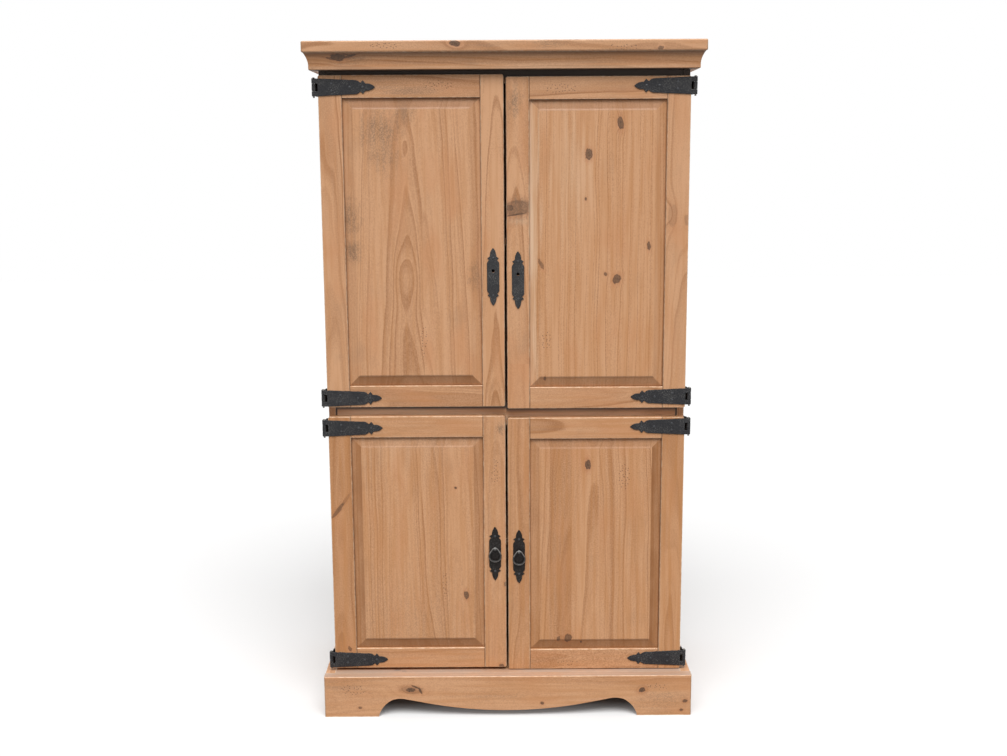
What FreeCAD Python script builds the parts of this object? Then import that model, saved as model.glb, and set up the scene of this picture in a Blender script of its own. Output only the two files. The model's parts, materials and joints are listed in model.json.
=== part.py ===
import FreeCAD, Part
import math
import os

# A tall rustic pine cupboard: two pairs of overlay doors on black iron strap hinges,
# a coved cornice above and a scrolled plinth below.
# All sizes are millimetres. X runs to the right, Y to the back and Z up.
# The origin is on the floor, under the middle of the whole object.

Vector = FreeCAD.Vector
X_AXIS = Vector(1, 0, 0)
Y_AXIS = Vector(0, 1, 0)
Z_AXIS = Vector(0, 0, 1)
LEFT = -1
RIGHT = 1

# Overall sizes
overall_height = 1803.0
overall_depth = 560.0
body_width = 952.0

# How far a cutting tool runs past what it cuts
overrun = 5.0

# Crown slab and cornice moulding
slab_thick = 28.0
slab_overhang = 35.0
slab_arris = 4.0
cove_height = 43.0
cove_lip_overhang = 19.5
cove_lip_height = 14.0
cove_lip_round = 3.0
cove_head_overhang = 31.0
cove_bulge_share = 0.30

# Doors
door_thick = 22.0
door_stand_off = 2.0
door_middle_gap = 5.0
door_head_gap = 10.5
door_between_gap = 25.5
door_floor_gap = 8.0
upper_door_height = 862.0
right_pair_drop = 6.0
stile_width = 60.0
rail_width = 57.5
door_arris = 2.2
door_back_arris = 1.2
door_corner = 7.0
joint_ease = 1.3
groove_setback = 8.0
groove_width = 7.5
groove_depth = 10.0
tenon_length = 30.0
tenon_shoulder = 8.0

# Raised door panels
panel_side_play = 1.0
panel_face_play = 0.15
bevel_width = 25.5
bevel_rise = 5.4
field_step = 1.8

# Plinth
plinth_height = 116.0
plinth_thick = 27.0
plinth_step = 43.0
plinth_arris = 3.5
foot_width = 148.0
arch_rise = 52.0
back_foot_lift = 12.0
# Half of the arch outline from its middle to the foot: shares of the half width and of the rise
belly_middle_share = (0.0, 0.327)
belly_end_share = (0.662, 0.798)
crown_start_share = (0.783, 0.962)
crown_top_share = (0.839, 1.0)
crown_end_share = (0.896, 0.919)
foot_middle_share = (0.963, 0.54)
foot_end_share = (1.0, 0.0)

# Boards of the body
side_thick = 18.0
deck_thick = 18.0
rail_thick = 22.0
top_rail_height = 75.0
middle_rail_height = 63.0
middle_rail_lap = 8.5
rail_end_gap = 1.5
housing_depth = 6.0
side_foot_lift = 60.0
back_thick = 10.0
back_rebate = 9.0
back_board_count = 7
back_board_gap = 1.0

# Loose shelves and the pins that carry them
shelf_thick = 18.0
shelf_end_play = 1.0
shelf_front_setback = 6.0
upper_shelf_level_share = 0.5
lower_shelf_level_share = 0.5
shelf_pin_radius = 3.5
shelf_pin_in = 10.0
shelf_pin_out = 12.0
shelf_pin_inset = 45.0
pin_fit = 0.05

# Iron plate, screws and hinge knuckles
iron_thick = 2.5
screw_head_radius = 3.5
screw_head_height = 1.7
screw_slot_width = 0.9
screw_slot_depth = 0.8
screw_shank_radius = 1.6
door_screw_length = 16.0
side_screw_length = 13.0
screw_fit = 0.05
knuckle_radius = 5.25
barrel_reach = 16.0
hinge_pin_radius = 2.4
running_fit = 0.05
knuckle_gap = 0.3
pin_head_radius = 4.2
pin_head_height = 2.5
pin_tail = 4.0

# Hinge straps: heights are of the root, lengths run from the door's edge
strap_height = 44.5
strap_length = 146.0
strap_slot_height = 19.0
# Upper edge of the strap from root to tip: shares of the length and of the half height
strap_root_share = (0.0, 1.0)
strap_shoulder_share = (0.64, 0.81)
strap_turn_share = (0.71, 0.70)
strap_neck_share = (0.745, 0.49)
strap_wing_share = (0.79, 0.79)
strap_waist_share = (0.836, 0.41)
strap_spear_share = (0.93, 0.33)
strap_tip_share = (1.0, 0.0)
strap_screw_shares = ((0.24, 0.40), (0.24, -0.40), (0.56, 0.0), (0.785, 0.0))
# Hinge middles, from the top and bottom edges of the left doors
upper_hinge_from_top = 30.5
upper_hinge_from_bottom = 25.0
lower_hinge_from_top = 31.0
lower_hinge_from_bottom = 25.0

# Side leaves of the hinges, screwed to the outside of the body
leaf_length = 55.0
leaf_crank_length = 8.0
leaf_shoulder_gap = 1.0
leaf_corner = 9.0
leaf_screw_height_share = 0.5
leaf_screw_shares = ((0.30, 1.0), (0.72, -1.0))

# Back plates of the pulls
plate_length = 152.0
plate_width = 32.7
plate_from_edge = 30.0
upper_plate_from_bottom = 346.0
lower_plate_from_bottom = 328.0
right_plate_drop = 3.0
plate_hole_radius = 4.0
plate_hole_rise = 15.5
# Right-hand edge of the plate from its middle to its tip: shares of half width and half length
plate_side_share = (1.0, 0.0)
plate_shoulder_share = (1.0, 0.44)
plate_turn_share = (0.90, 0.52)
plate_neck_share = (0.62, 0.575)
plate_wing_share = (0.95, 0.645)
plate_base_share = (0.52, 0.705)
plate_spear_share = (0.43, 0.855)
plate_tip_share = (0.0, 1.0)
plate_screw_share = 0.645

# Drop pull of the lower doors: a teardrop ring hung in the eye of a stud
ring_bar_radius = 2.5
ring_loop_radius = 15.4
ring_drop = 20.5
ring_top_half = 5.2
ring_top_bend = 4.0
eye_radius = 5.0
eye_width = 6.0
eye_stand_off = 0.3
stud_fit = 0.05
stud_nut_radius = 7.0
stud_nut_thick = 2.5

# Ball catches in the rails
catch_radius = 4.5
catch_length = 14.0
catch_ball_radius = 4.0
catch_ball_reach = 3.0
catch_dimple_gap = 0.3
catch_from_middle = 33.0
catch_lap_share = 0.5

# Levels that follow from these sizes
slab_bottom = overall_height - slab_thick
cornice_bottom = slab_bottom - cove_height
upper_door_top = cornice_bottom - door_head_gap
upper_door_bottom = upper_door_top - upper_door_height
lower_door_top = upper_door_bottom - door_between_gap
lower_door_bottom = plinth_height + door_floor_gap
middle_rail_top = upper_door_bottom + middle_rail_lap
middle_rail_bottom = middle_rail_top - middle_rail_height
top_rail_bottom = slab_bottom - top_rail_height

# Planes from front to back that follow from these sizes
plinth_front_y = -overall_depth / 2
back_y = overall_depth / 2
door_front_y = plinth_front_y + plinth_step
door_back_y = door_front_y + door_thick
body_front_y = door_back_y + door_stand_off
rail_back_y = body_front_y + rail_thick
back_board_y = back_y - back_thick
iron_front_y = door_front_y - iron_thick
eye_y = iron_front_y - eye_stand_off - eye_radius

# Planes from the middle outwards that follow from these sizes
body_half = body_width / 2
inner_half = body_half - side_thick
plinth_half = body_half + plinth_thick
door_edge = door_middle_gap / 2
hinge_x = body_half + barrel_reach - knuckle_radius
hinge_y = iron_front_y + knuckle_radius


def box(x_pair, y_pair, z_pair):
    """A block between two planes on each axis, given in either order."""
    x_low, x_high = sorted(x_pair)
    y_low, y_high = sorted(y_pair)
    z_low, z_high = sorted(z_pair)
    corner = Vector(x_low, y_low, z_low)
    return Part.makeBox(x_high - x_low, y_high - y_low, z_high - z_low, corner)


def in_plan(a, b, level=0.0):
    return Vector(a, b, level)


def in_front(a, b, level=0.0):
    return Vector(a, level, b)


def in_side(a, b, level=0.0):
    return Vector(level, a, b)


def rounded_edges(corners, place, level):
    """Edges of a closed outline; each corner is (a, b, radius), and radius zero is a sharp one."""
    count = len(corners)
    starts = []
    ends = []
    middles = []
    for index in range(count):
        a, b, radius = corners[index]
        before = corners[index - 1]
        after = corners[(index + 1) % count]
        to_before = Vector(before[0] - a, before[1] - b, 0).normalize()
        to_after = Vector(after[0] - a, after[1] - b, 0).normalize()
        here = Vector(a, b, 0)
        if radius == 0:
            starts.append(here)
            ends.append(here)
            middles.append(None)
            continue
        half_turn = to_before.getAngle(to_after) / 2
        setback = radius / math.tan(half_turn)
        bisector = (to_before + to_after).normalize()
        middle = here + bisector * (radius / math.sin(half_turn) - radius)
        starts.append(here + to_before * setback)
        ends.append(here + to_after * setback)
        middles.append(middle)

    def put(point):
        return place(point.x, point.y, level)

    edges = []
    for index in range(count):
        if middles[index] is not None:
            arc = Part.Arc(put(starts[index]), put(middles[index]), put(ends[index]))
            edges.append(arc.toShape())
        following = (index + 1) % count
        edges.append(Part.LineSegment(put(ends[index]), put(starts[following])).toShape())
    return edges


def rounded_prism(corners, place, low, high):
    """A prism of a rounded outline between two levels on the axis that the outline leaves."""
    face = Part.Face(Part.Wire(rounded_edges(corners, place, low)))
    travel = place(0, 0, high) - place(0, 0, low)
    return face.extrude(travel)


def path_face(steps, place, level):
    """A flat face; steps holds ("line", end) and ("arc", middle, end) after the first point."""
    here = place(*steps[0], level)
    edges = []
    for step in steps[1:]:
        end = place(*step[-1], level)
        if step[0] == "arc":
            middle = place(*step[1], level)
            edges.append(Part.Arc(here, middle, end).toShape())
        else:
            edges.append(Part.LineSegment(here, end).toShape())
        here = end
    return Part.Face(Part.Wire(edges))


def rod(radius, start, end):
    """A round bar between two points."""
    travel = end - start
    return Part.makeCylinder(radius, travel.Length, start, travel)


def joined(first, *others):
    """One solid from pieces that touch or overlap."""
    return first.fuse(list(others)).removeSplitter().Solids[0]


def domed_pin(head_radius, head_height, shank_radius, shank_length):
    """A turned pin along Z: a domed head above level zero and a plain shank below it."""
    dome_radius = (head_radius ** 2 + head_height ** 2) / (2 * head_height)
    half_angle = math.asin(head_radius / dome_radius) / 2
    dome_middle = (dome_radius * math.sin(half_angle),
                   head_height - dome_radius * (1 - math.cos(half_angle)))
    steps = [(0.0, head_height),
             ("arc", dome_middle, (head_radius, 0.0)),
             ("line", (shank_radius, 0.0)),
             ("line", (shank_radius, -shank_length)),
             ("line", (0.0, -shank_length)),
             ("line", (0.0, head_height))]
    return path_face(steps, in_front, 0).revolve(Vector(), Z_AXIS, 360)


def screw(seat, inward, length):
    """A round-headed slotted screw whose head sits on seat and whose shank runs inward."""
    solid = domed_pin(screw_head_radius, screw_head_height, screw_shank_radius, length)
    slot = box((-screw_head_radius, screw_head_radius),
               (-screw_slot_width / 2, screw_slot_width / 2),
               (screw_head_height - screw_slot_depth, screw_head_height + overrun))
    solid = solid.cut(slot)
    solid.Placement = FreeCAD.Placement(seat, FreeCAD.Rotation(Z_AXIS, inward * -1))
    return solid.Solids[0]


def screw_holes(seats, inward, length):
    """Tools that clear the shanks of the screws set on these seats."""
    radius = screw_shank_radius + screw_fit
    return [rod(radius, seat - inward * overrun, seat + inward * (length + screw_fit))
            for seat in seats]


def stile(outer_x, inner_x, bottom, top):
    """An upright of a door frame: its outer edge is rounded, and its inner edge is grooved."""
    inward = math.copysign(1, inner_x - outer_x)
    plan = [(outer_x, door_front_y, door_arris),
            (inner_x - inward * joint_ease, door_front_y, 0),
            (inner_x, door_front_y + joint_ease, 0),
            (inner_x, door_back_y, 0),
            (outer_x, door_back_y, door_back_arris)]
    front = [(outer_x, bottom, door_corner), (inner_x, bottom, 0),
             (inner_x, top, 0), (outer_x, top, door_corner)]
    section = [(door_front_y, bottom, door_arris), (door_back_y, bottom, door_back_arris),
               (door_back_y, top, door_back_arris), (door_front_y, top, door_arris)]
    blank = rounded_prism(plan, in_plan, bottom, top)
    blank = blank.common(rounded_prism(front, in_front, door_front_y, door_back_y))
    blank = blank.common(rounded_prism(section, in_side, min(outer_x, inner_x), max(outer_x, inner_x)))
    rail_reach = rail_width - groove_depth
    groove = box((inner_x - inward * groove_depth, inner_x + inward * overrun), groove_span(),
                 (bottom + rail_reach, top - rail_reach))
    return blank.cut(groove)


def groove_span():
    """Front and back of the groove, the tenons and their mortises."""
    front = door_front_y + groove_setback
    return (front, front + groove_width)


def tenon(x_root, reach, outer_z, inner_z):
    """The tongue at a rail's end, clear of the door's corner and of the panel's groove."""
    inward = math.copysign(1, inner_z - outer_z)
    return box((x_root, x_root + reach), groove_span(),
               (outer_z + inward * tenon_shoulder, inner_z - inward * groove_depth))


def rail(x_low, x_high, outer_z, inner_z):
    """A cross piece of a door frame, without its tenons."""
    inward = math.copysign(1, inner_z - outer_z)
    section = [(door_front_y, outer_z, door_arris),
               (door_back_y, outer_z, door_back_arris),
               (door_back_y, inner_z, 0),
               (door_front_y + joint_ease, inner_z, 0),
               (door_front_y, inner_z - inward * joint_ease, 0)]
    plan = [(x_low, door_back_y, 0), (x_low, door_front_y + joint_ease, 0),
            (x_low + joint_ease, door_front_y, 0), (x_high - joint_ease, door_front_y, 0),
            (x_high, door_front_y + joint_ease, 0), (x_high, door_back_y, 0)]
    blank = rounded_prism(section, in_side, x_low, x_high)
    blank = blank.common(rounded_prism(plan, in_plan, min(outer_z, inner_z), max(outer_z, inner_z)))
    groove = box((x_low, x_high), groove_span(),
                 (inner_z - inward * groove_depth, inner_z + inward * overrun))
    return blank.cut(groove)


def rectangle_wire(x_pair, z_pair, y):
    corners = [Vector(x_pair[0], y, z_pair[0]), Vector(x_pair[1], y, z_pair[0]),
               Vector(x_pair[1], y, z_pair[1]), Vector(x_pair[0], y, z_pair[1])]
    return Part.makePolygon(corners + corners[:1])


def door_panel(x_low, x_high, z_low, z_high):
    """A raised panel: tongue in the grooves, a bevel all round and a stepped-up flat field."""
    tongue_front, tongue_back = groove_span()
    tongue_front += panel_face_play
    tongue_back -= panel_face_play
    reach = groove_depth - panel_side_play
    bevel_top = tongue_front - bevel_rise
    field_x = (x_low + bevel_width, x_high - bevel_width)
    field_z = (z_low + bevel_width, z_high - bevel_width)
    tongue = box((x_low - reach, x_high + reach), (tongue_front, tongue_back),
                 (z_low - reach, z_high + reach))
    bevel = Part.makeLoft([rectangle_wire((x_low, x_high), (z_low, z_high), tongue_front),
                           rectangle_wire(field_x, field_z, bevel_top)], True, True)
    field = box(field_x, (bevel_top, bevel_top - field_step), field_z)
    return joined(tongue, bevel, field)


def strap_outline(side):
    """Edges of a strap in front view, from the door's edge to the spear tip and back."""
    half = strap_height / 2

    def at(share, up):
        x = side * (body_half - share[0] * strap_length)
        return (x, up * share[1] * half)

    steps = [at(strap_root_share, 1),
             ("line", at(strap_shoulder_share, 1)),
             ("arc", at(strap_turn_share, 1), at(strap_neck_share, 1)),
             ("line", at(strap_wing_share, 1)),
             ("line", at(strap_waist_share, 1)),
             ("arc", at(strap_spear_share, 1), at(strap_tip_share, 1)),
             ("arc", at(strap_spear_share, -1), at(strap_waist_share, -1)),
             ("line", at(strap_wing_share, -1)),
             ("line", at(strap_neck_share, -1)),
             ("arc", at(strap_turn_share, -1), at(strap_shoulder_share, -1)),
             ("line", at(strap_root_share, -1)),
             ("line", at(strap_root_share, 1))]
    return steps


def strap_seats(side, level):
    """Where the heads of a strap's screws sit."""
    seats = []
    for along_share, up_share in strap_screw_shares:
        x = side * (body_half - along_share * strap_length)
        seats.append(Vector(x, iron_front_y, level + up_share * strap_height / 2))
    return seats


def strap(side, level):
    """A hinge strap with the two outer knuckles that wrap its pin."""
    plate = path_face(strap_outline(side), in_front, iron_front_y).extrude(Y_AXIS * iron_thick)
    plate.translate(Z_AXIS * level)
    solid = plate
    for up in (-1, 1):
        ends = (level + up * strap_slot_height / 2, level + up * strap_height / 2)
        tab = box((side * body_half, side * hinge_x), (iron_front_y, door_front_y), ends)
        knuckle = rod(knuckle_radius, Vector(side * hinge_x, hinge_y, min(ends)),
                      Vector(side * hinge_x, hinge_y, max(ends)))
        solid = joined(solid, tab, knuckle)
    bore = rod(hinge_pin_radius + running_fit,
               Vector(side * hinge_x, hinge_y, level - strap_height),
               Vector(side * hinge_x, hinge_y, level + strap_height))
    holes = screw_holes(strap_seats(side, level), Y_AXIS, door_screw_length)
    return solid.cut([bore] + holes).Solids[0]


def hinge_pin(side, level):
    """A pin with a domed head over the upper knuckle and a tail below the lower one."""
    length = knuckle_gap + strap_height + pin_tail
    pin = domed_pin(pin_head_radius, pin_head_height, hinge_pin_radius, length)
    pin.translate(Vector(side * hinge_x, hinge_y, level + strap_height / 2 + knuckle_gap))
    return pin


def leaf_seats(side, level):
    """Where the heads of a side leaf's screws sit."""
    start = body_front_y + leaf_crank_length
    seats = []
    for along_share, up_share in leaf_screw_shares:
        rise = up_share * leaf_screw_height_share * strap_height / 2
        seats.append(Vector(side * (body_half + iron_thick), start + along_share * leaf_length,
                            level + rise))
    return seats


def side_leaf(side, level):
    """The hinge half on the body: middle knuckle, a cranked web and a plate on the side.

    The web is as narrow as the knuckle beside the strap and as tall as the plate behind it.
    """
    half_knuckle = strap_slot_height / 2 - knuckle_gap
    web_outer = hinge_x - knuckle_radius + iron_thick
    web_inner = hinge_x - knuckle_radius
    plate_start = body_front_y + leaf_crank_length
    web = [(side * web_outer, hinge_y, 0), (side * web_outer, body_front_y, 0),
           (side * (body_half + iron_thick), plate_start, 0), (side * body_half, plate_start, 0),
           (side * body_half, body_front_y, 0),
           (side * web_inner, body_front_y - leaf_crank_length / 2, 0),
           (side * web_inner, hinge_y, 0)]
    low, high = level - half_knuckle, level + half_knuckle
    bottom, top = level - strap_height / 2, level + strap_height / 2
    shoulder_front = hinge_y + knuckle_radius + leaf_shoulder_gap
    shoulder_room = box((side * body_half, side * web_outer), (shoulder_front, plate_start),
                        (bottom, top))
    neck = rounded_prism(web, in_plan, low, high)
    shoulder = rounded_prism(web, in_plan, bottom, top).common(shoulder_room)
    knuckle = rod(knuckle_radius, Vector(side * hinge_x, hinge_y, low),
                  Vector(side * hinge_x, hinge_y, high))
    plate_end = plate_start + leaf_length
    outline = [(plate_start, bottom, 0), (plate_end, bottom, leaf_corner),
               (plate_end, top, leaf_corner), (plate_start, top, 0)]
    plate = rounded_prism(outline, in_side, side * body_half, side * (body_half + iron_thick))
    solid = joined(neck, shoulder, knuckle, plate)
    bore = rod(hinge_pin_radius + running_fit,
               Vector(side * hinge_x, hinge_y, level - strap_height),
               Vector(side * hinge_x, hinge_y, level + strap_height))
    holes = screw_holes(leaf_seats(side, level), X_AXIS * -side, side_screw_length)
    return solid.cut([bore] + holes).Solids[0]


def plate_steps():
    """Edges of a back plate in front view, about its own middle."""
    half_width = plate_width / 2
    half_length = plate_length / 2

    def at(share, right, up):
        return (right * share[0] * half_width, up * share[1] * half_length)

    steps = [at(plate_side_share, 1, 1)]
    for right, up in ((1, 1), (-1, 1), (-1, -1), (1, -1)):
        outward = right * up > 0
        quarter = [("line", at(plate_shoulder_share, right, up)),
                   ("arc", at(plate_turn_share, right, up), at(plate_neck_share, right, up)),
                   ("line", at(plate_wing_share, right, up)),
                   ("line", at(plate_base_share, right, up)),
                   ("arc", at(plate_spear_share, right, up), at(plate_tip_share, right, up))]
        if not outward:
            quarter = [("arc", at(plate_spear_share, right, up), at(plate_base_share, right, up)),
                       ("line", at(plate_wing_share, right, up)),
                       ("line", at(plate_neck_share, right, up)),
                       ("arc", at(plate_turn_share, right, up), at(plate_shoulder_share, right, up)),
                       ("line", at(plate_side_share, right, up))]
        steps += quarter
    return steps


def plate_seats(x, level):
    """Where the heads of a back plate's screws sit."""
    offset = plate_screw_share * plate_length / 2
    return [Vector(x, iron_front_y, level + up * offset) for up in (-1, 1)]


def pull_plate(x, level):
    """A back plate with spear ends, a hole for the pull and two screw holes."""
    plate = path_face(plate_steps(), in_front, iron_front_y).extrude(Y_AXIS * iron_thick)
    plate.translate(Vector(x, 0, level))
    tools = screw_holes(plate_seats(x, level), Y_AXIS, door_screw_length)
    return plate.cut(tools + [pull_hole(x, level)]).Solids[0]


def pull_hole(x, level):
    """The hole for a pull's stud, through the plate and the stile behind it."""
    height = level + plate_hole_rise
    return rod(plate_hole_radius, Vector(x, iron_front_y - overrun, height),
               Vector(x, door_back_y + overrun, height))


def pull_stud(x, level):
    """The stud of a drop pull: an eye in front of the plate, a shank and a nut behind the door."""
    height = level + plate_hole_rise
    eye = rod(eye_radius, Vector(x - eye_width / 2, eye_y, height),
              Vector(x + eye_width / 2, eye_y, height))
    shank = rod(plate_hole_radius - stud_fit, Vector(x, eye_y, height),
                Vector(x, door_back_y, height))
    nut = rod(stud_nut_radius, Vector(x, door_back_y, height),
              Vector(x, door_back_y + stud_nut_thick, height))
    bore = rod(ring_bar_radius + running_fit, Vector(x - eye_width, eye_y, height),
               Vector(x + eye_width, eye_y, height))
    return joined(eye, shank, nut).cut(bore).Solids[0]


def drop_pull(x, level):
    """A teardrop ring of round bar: a short top bar, two straight arms and a round loop."""
    height = level + plate_hole_rise
    loop_z = -ring_drop
    reach = math.hypot(ring_top_half, ring_drop)
    # The arm leaves the corner of the top bar and touches the loop
    to_centre = math.atan2(loop_z, -ring_top_half)
    arm_angle = to_centre + math.asin(ring_loop_radius / reach)
    arm_length = math.sqrt(reach ** 2 - ring_loop_radius ** 2)
    touch = (ring_top_half + arm_length * math.cos(arm_angle), arm_length * math.sin(arm_angle))
    turn = -arm_angle
    setback = ring_top_bend * math.tan(turn / 2)
    bend_start = (ring_top_half - setback, 0)
    bend_end = (ring_top_half + setback * math.cos(arm_angle), setback * math.sin(arm_angle))
    bend_middle = (bend_start[0] + ring_top_bend * math.sin(turn / 2),
                   ring_top_bend * (math.cos(turn / 2) - 1))

    def put(point, mirror=1):
        return Vector(x + mirror * point[0], eye_y, height + point[1])

    start = put((0, 0))
    loop_bottom = (0, loop_z - ring_loop_radius)
    edges = [Part.LineSegment(start, put(bend_start)).toShape(),
             Part.Arc(put(bend_start), put(bend_middle), put(bend_end)).toShape(),
             Part.LineSegment(put(bend_end), put(touch)).toShape(),
             Part.Arc(put(touch), put(loop_bottom), put(touch, -1)).toShape(),
             Part.LineSegment(put(touch, -1), put(bend_end, -1)).toShape(),
             Part.Arc(put(bend_end, -1), put(bend_middle, -1), put(bend_start, -1)).toShape(),
             Part.LineSegment(put(bend_start, -1), start).toShape()]
    spine = Part.Wire(edges)
    section = Part.Wire(Part.makeCircle(ring_bar_radius, start, X_AXIS))
    return spine.makePipeShell([section], True, False)


def door_levels(side, tier):
    """Bottom and top of a door."""
    drop = right_pair_drop if side == RIGHT else 0.0
    if tier == "upper":
        return upper_door_bottom - drop, upper_door_top - drop
    return lower_door_bottom - drop, lower_door_top - drop


def hinge_levels(tier):
    """Middles of the lower and upper hinge of a door, alike on both sides of the cupboard."""
    bottom, top = door_levels(LEFT, tier)
    if tier == "upper":
        return (bottom + upper_hinge_from_bottom, top - upper_hinge_from_top)
    return (bottom + lower_hinge_from_bottom, top - lower_hinge_from_top)


def plate_place(side, tier):
    """Middle of a door's back plate."""
    from_bottom = upper_plate_from_bottom if tier == "upper" else lower_plate_from_bottom
    drop = right_plate_drop if side == RIGHT else 0.0
    bottom = door_levels(side, tier)[0]
    return side * (door_edge + plate_from_edge), bottom + from_bottom - drop


def catch_place(side, tier):
    """Centre of the ball of a door's catch."""
    ball_y = body_front_y - catch_ball_reach + catch_ball_radius
    bottom, top = door_levels(RIGHT, tier)
    rail_bottom = top_rail_bottom if tier == "upper" else middle_rail_bottom
    height = rail_bottom + catch_lap_share * (top - rail_bottom)
    return Vector(side * catch_from_middle, ball_y, height)


def make_door(side, tier):
    """All fixed pieces of one door, by their names."""
    bottom, top = door_levels(side, tier)
    outer_x = side * body_half
    meeting_x = side * door_edge
    outer_inner_x = side * (body_half - stile_width)
    meeting_inner_x = side * (door_edge + stile_width)
    x_low, x_high = sorted((outer_inner_x, meeting_inner_x))
    hinge_stile = stile(outer_x, outer_inner_x, bottom, top)
    meeting_stile = stile(meeting_x, meeting_inner_x, bottom, top)
    rails = {}
    tenons = []
    for name, outer_z, inner_z in (("top_rail", top, top - rail_width),
                                   ("bottom_rail", bottom, bottom + rail_width)):
        ends = [tenon(x_low, -tenon_length, outer_z, inner_z),
                tenon(x_high, tenon_length, outer_z, inner_z)]
        rails[name] = joined(rail(x_low, x_high, outer_z, inner_z), *ends)
        tenons += ends
    hinge_stile = hinge_stile.cut(tenons)
    meeting_stile = meeting_stile.cut(tenons)
    panel = door_panel(x_low, x_high, bottom + rail_width, top - rail_width)

    plate_x, plate_level = plate_place(side, tier)
    seats = plate_seats(plate_x, plate_level)
    straps = []
    for level in hinge_levels(tier):
        straps.append(strap(side, level))
        seats += strap_seats(side, level)
    screws = [screw(seat, Y_AXIS, door_screw_length) for seat in seats]
    holes = screw_holes(seats, Y_AXIS, door_screw_length)
    dimple = Part.makeSphere(catch_ball_radius + catch_dimple_gap, catch_place(side, tier))
    hinge_stile = hinge_stile.cut(holes)
    meeting_stile = meeting_stile.cut(holes + [pull_hole(plate_x, plate_level), dimple])
    for name in rails:
        rails[name] = rails[name].cut(holes)

    pieces = {"hinge_stile": hinge_stile, "meeting_stile": meeting_stile,
              "panel": panel, "straps": Part.makeCompound(straps),
              "pull_plate": pull_plate(plate_x, plate_level),
              "screws": Part.makeCompound(screws)}
    pieces.update(rails)
    if tier == "lower":
        pieces["pull_stud"] = pull_stud(plate_x, plate_level)
        pieces["drop_pull"] = drop_pull(plate_x, plate_level)
    return pieces


def shelf_level(tier):
    """Underside of a compartment's loose shelf."""
    if tier == "upper":
        return middle_rail_top + upper_shelf_level_share * (top_rail_bottom - middle_rail_top)
    return plinth_height + lower_shelf_level_share * (middle_rail_bottom - plinth_height)


def shelf(tier):
    half = inner_half - shelf_end_play
    level = shelf_level(tier)
    return box((-half, half), (rail_back_y + shelf_front_setback, back_board_y),
               (level, level + shelf_thick))


def shelf_pin_rods(extra):
    """The pins under both shelves; extra widens them into tools for their holes."""
    rods = []
    for tier in ("upper", "lower"):
        height = shelf_level(tier) - shelf_pin_radius
        for side in (LEFT, RIGHT):
            for y in (rail_back_y + shelf_front_setback + shelf_pin_inset,
                      back_board_y - shelf_pin_inset):
                inner = Vector(side * (inner_half - shelf_pin_out), y, height)
                outer = Vector(side * (inner_half + shelf_pin_in + extra), y, height)
                rods.append(rod(shelf_pin_radius + extra, inner, outer))
    return rods


def all_hinges():
    """Side and level of each hinge."""
    return [(side, level) for tier in ("upper", "lower") for side in (LEFT, RIGHT)
            for level in hinge_levels(tier)]


def body_side(side):
    """A side board with housings for the decks, a rebate for the back and holes."""
    board = box((side * inner_half, side * body_half), (body_front_y, back_y),
                (side_foot_lift, slab_bottom))
    housings = []
    for low, front in ((plinth_height - deck_thick, body_front_y),
                       (middle_rail_top - deck_thick, rail_back_y),
                       (slab_bottom - deck_thick, rail_back_y)):
        housings.append(box((side * (inner_half - overrun), side * (inner_half + housing_depth)),
                            (front, back_board_y), (low, low + deck_thick)))
    rebate = box((side * (inner_half - overrun), side * (inner_half + back_rebate)),
                 (back_board_y, back_y), (side_foot_lift, slab_bottom))
    holes = []
    for hinge_side, level in all_hinges():
        if hinge_side == side:
            holes += screw_holes(leaf_seats(side, level), X_AXIS * -side, side_screw_length)
    return board.cut(housings + [rebate] + holes + shelf_pin_rods(pin_fit))


def back_boards():
    """Upright boards that close the back, side by side with open joints."""
    whole = 2 * (inner_half + back_rebate)
    pitch = (whole + back_board_gap) / back_board_count
    boards = []
    for index in range(back_board_count):
        start = -whole / 2 + index * pitch
        boards.append(box((start, start + pitch - back_board_gap), (back_board_y, back_y),
                          (side_foot_lift, slab_bottom)))
    return Part.makeCompound(boards)


def housed_deck(bottom, front):
    """A board whose ends enter the housings of the sides."""
    half = inner_half + housing_depth
    return box((-half, half), (front, back_board_y), (bottom, bottom + deck_thick))


def bottom_deck():
    """The floor of the lower compartment, widened in front of the body to meet the plinth."""
    deck = housed_deck(plinth_height - deck_thick, body_front_y)
    apron = box((-body_half, body_half), (plinth_front_y + plinth_thick, body_front_y),
                (plinth_height - deck_thick, plinth_height))
    return joined(deck, apron)


def catch(side, tier):
    """A ball catch: a barrel in the rail with its ball standing out at the front."""
    centre = catch_place(side, tier)
    front = Vector(centre.x, body_front_y, centre.z)
    barrel = rod(catch_radius, front, front + Y_AXIS * catch_length)
    return joined(barrel, Part.makeSphere(catch_ball_radius, centre))


def rail_board(bottom, top, tier):
    """A front rail of the body with the holes of its catches."""
    half = inner_half - rail_end_gap
    board = box((-half, half), (body_front_y, rail_back_y), (bottom, top))
    tools = []
    for side in (LEFT, RIGHT):
        centre = catch_place(side, tier)
        front = Vector(centre.x, body_front_y - overrun, centre.z)
        tools.append(rod(catch_radius + pin_fit, front,
                         front + Y_AXIS * (overrun + catch_length)))
    return board.cut(tools)


def crown_slab():
    """The top board, rounded all round but for its back edge."""
    half = body_half + slab_overhang
    slab = box((-half, half), (door_front_y - slab_overhang, back_y), (slab_bottom, overall_height))
    edges = [edge for edge in slab.Edges
             if min(vertex.Y for vertex in edge.Vertexes) < back_y - overrun]
    return slab.makeFillet(slab_arris, edges).Solids[0]


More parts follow.
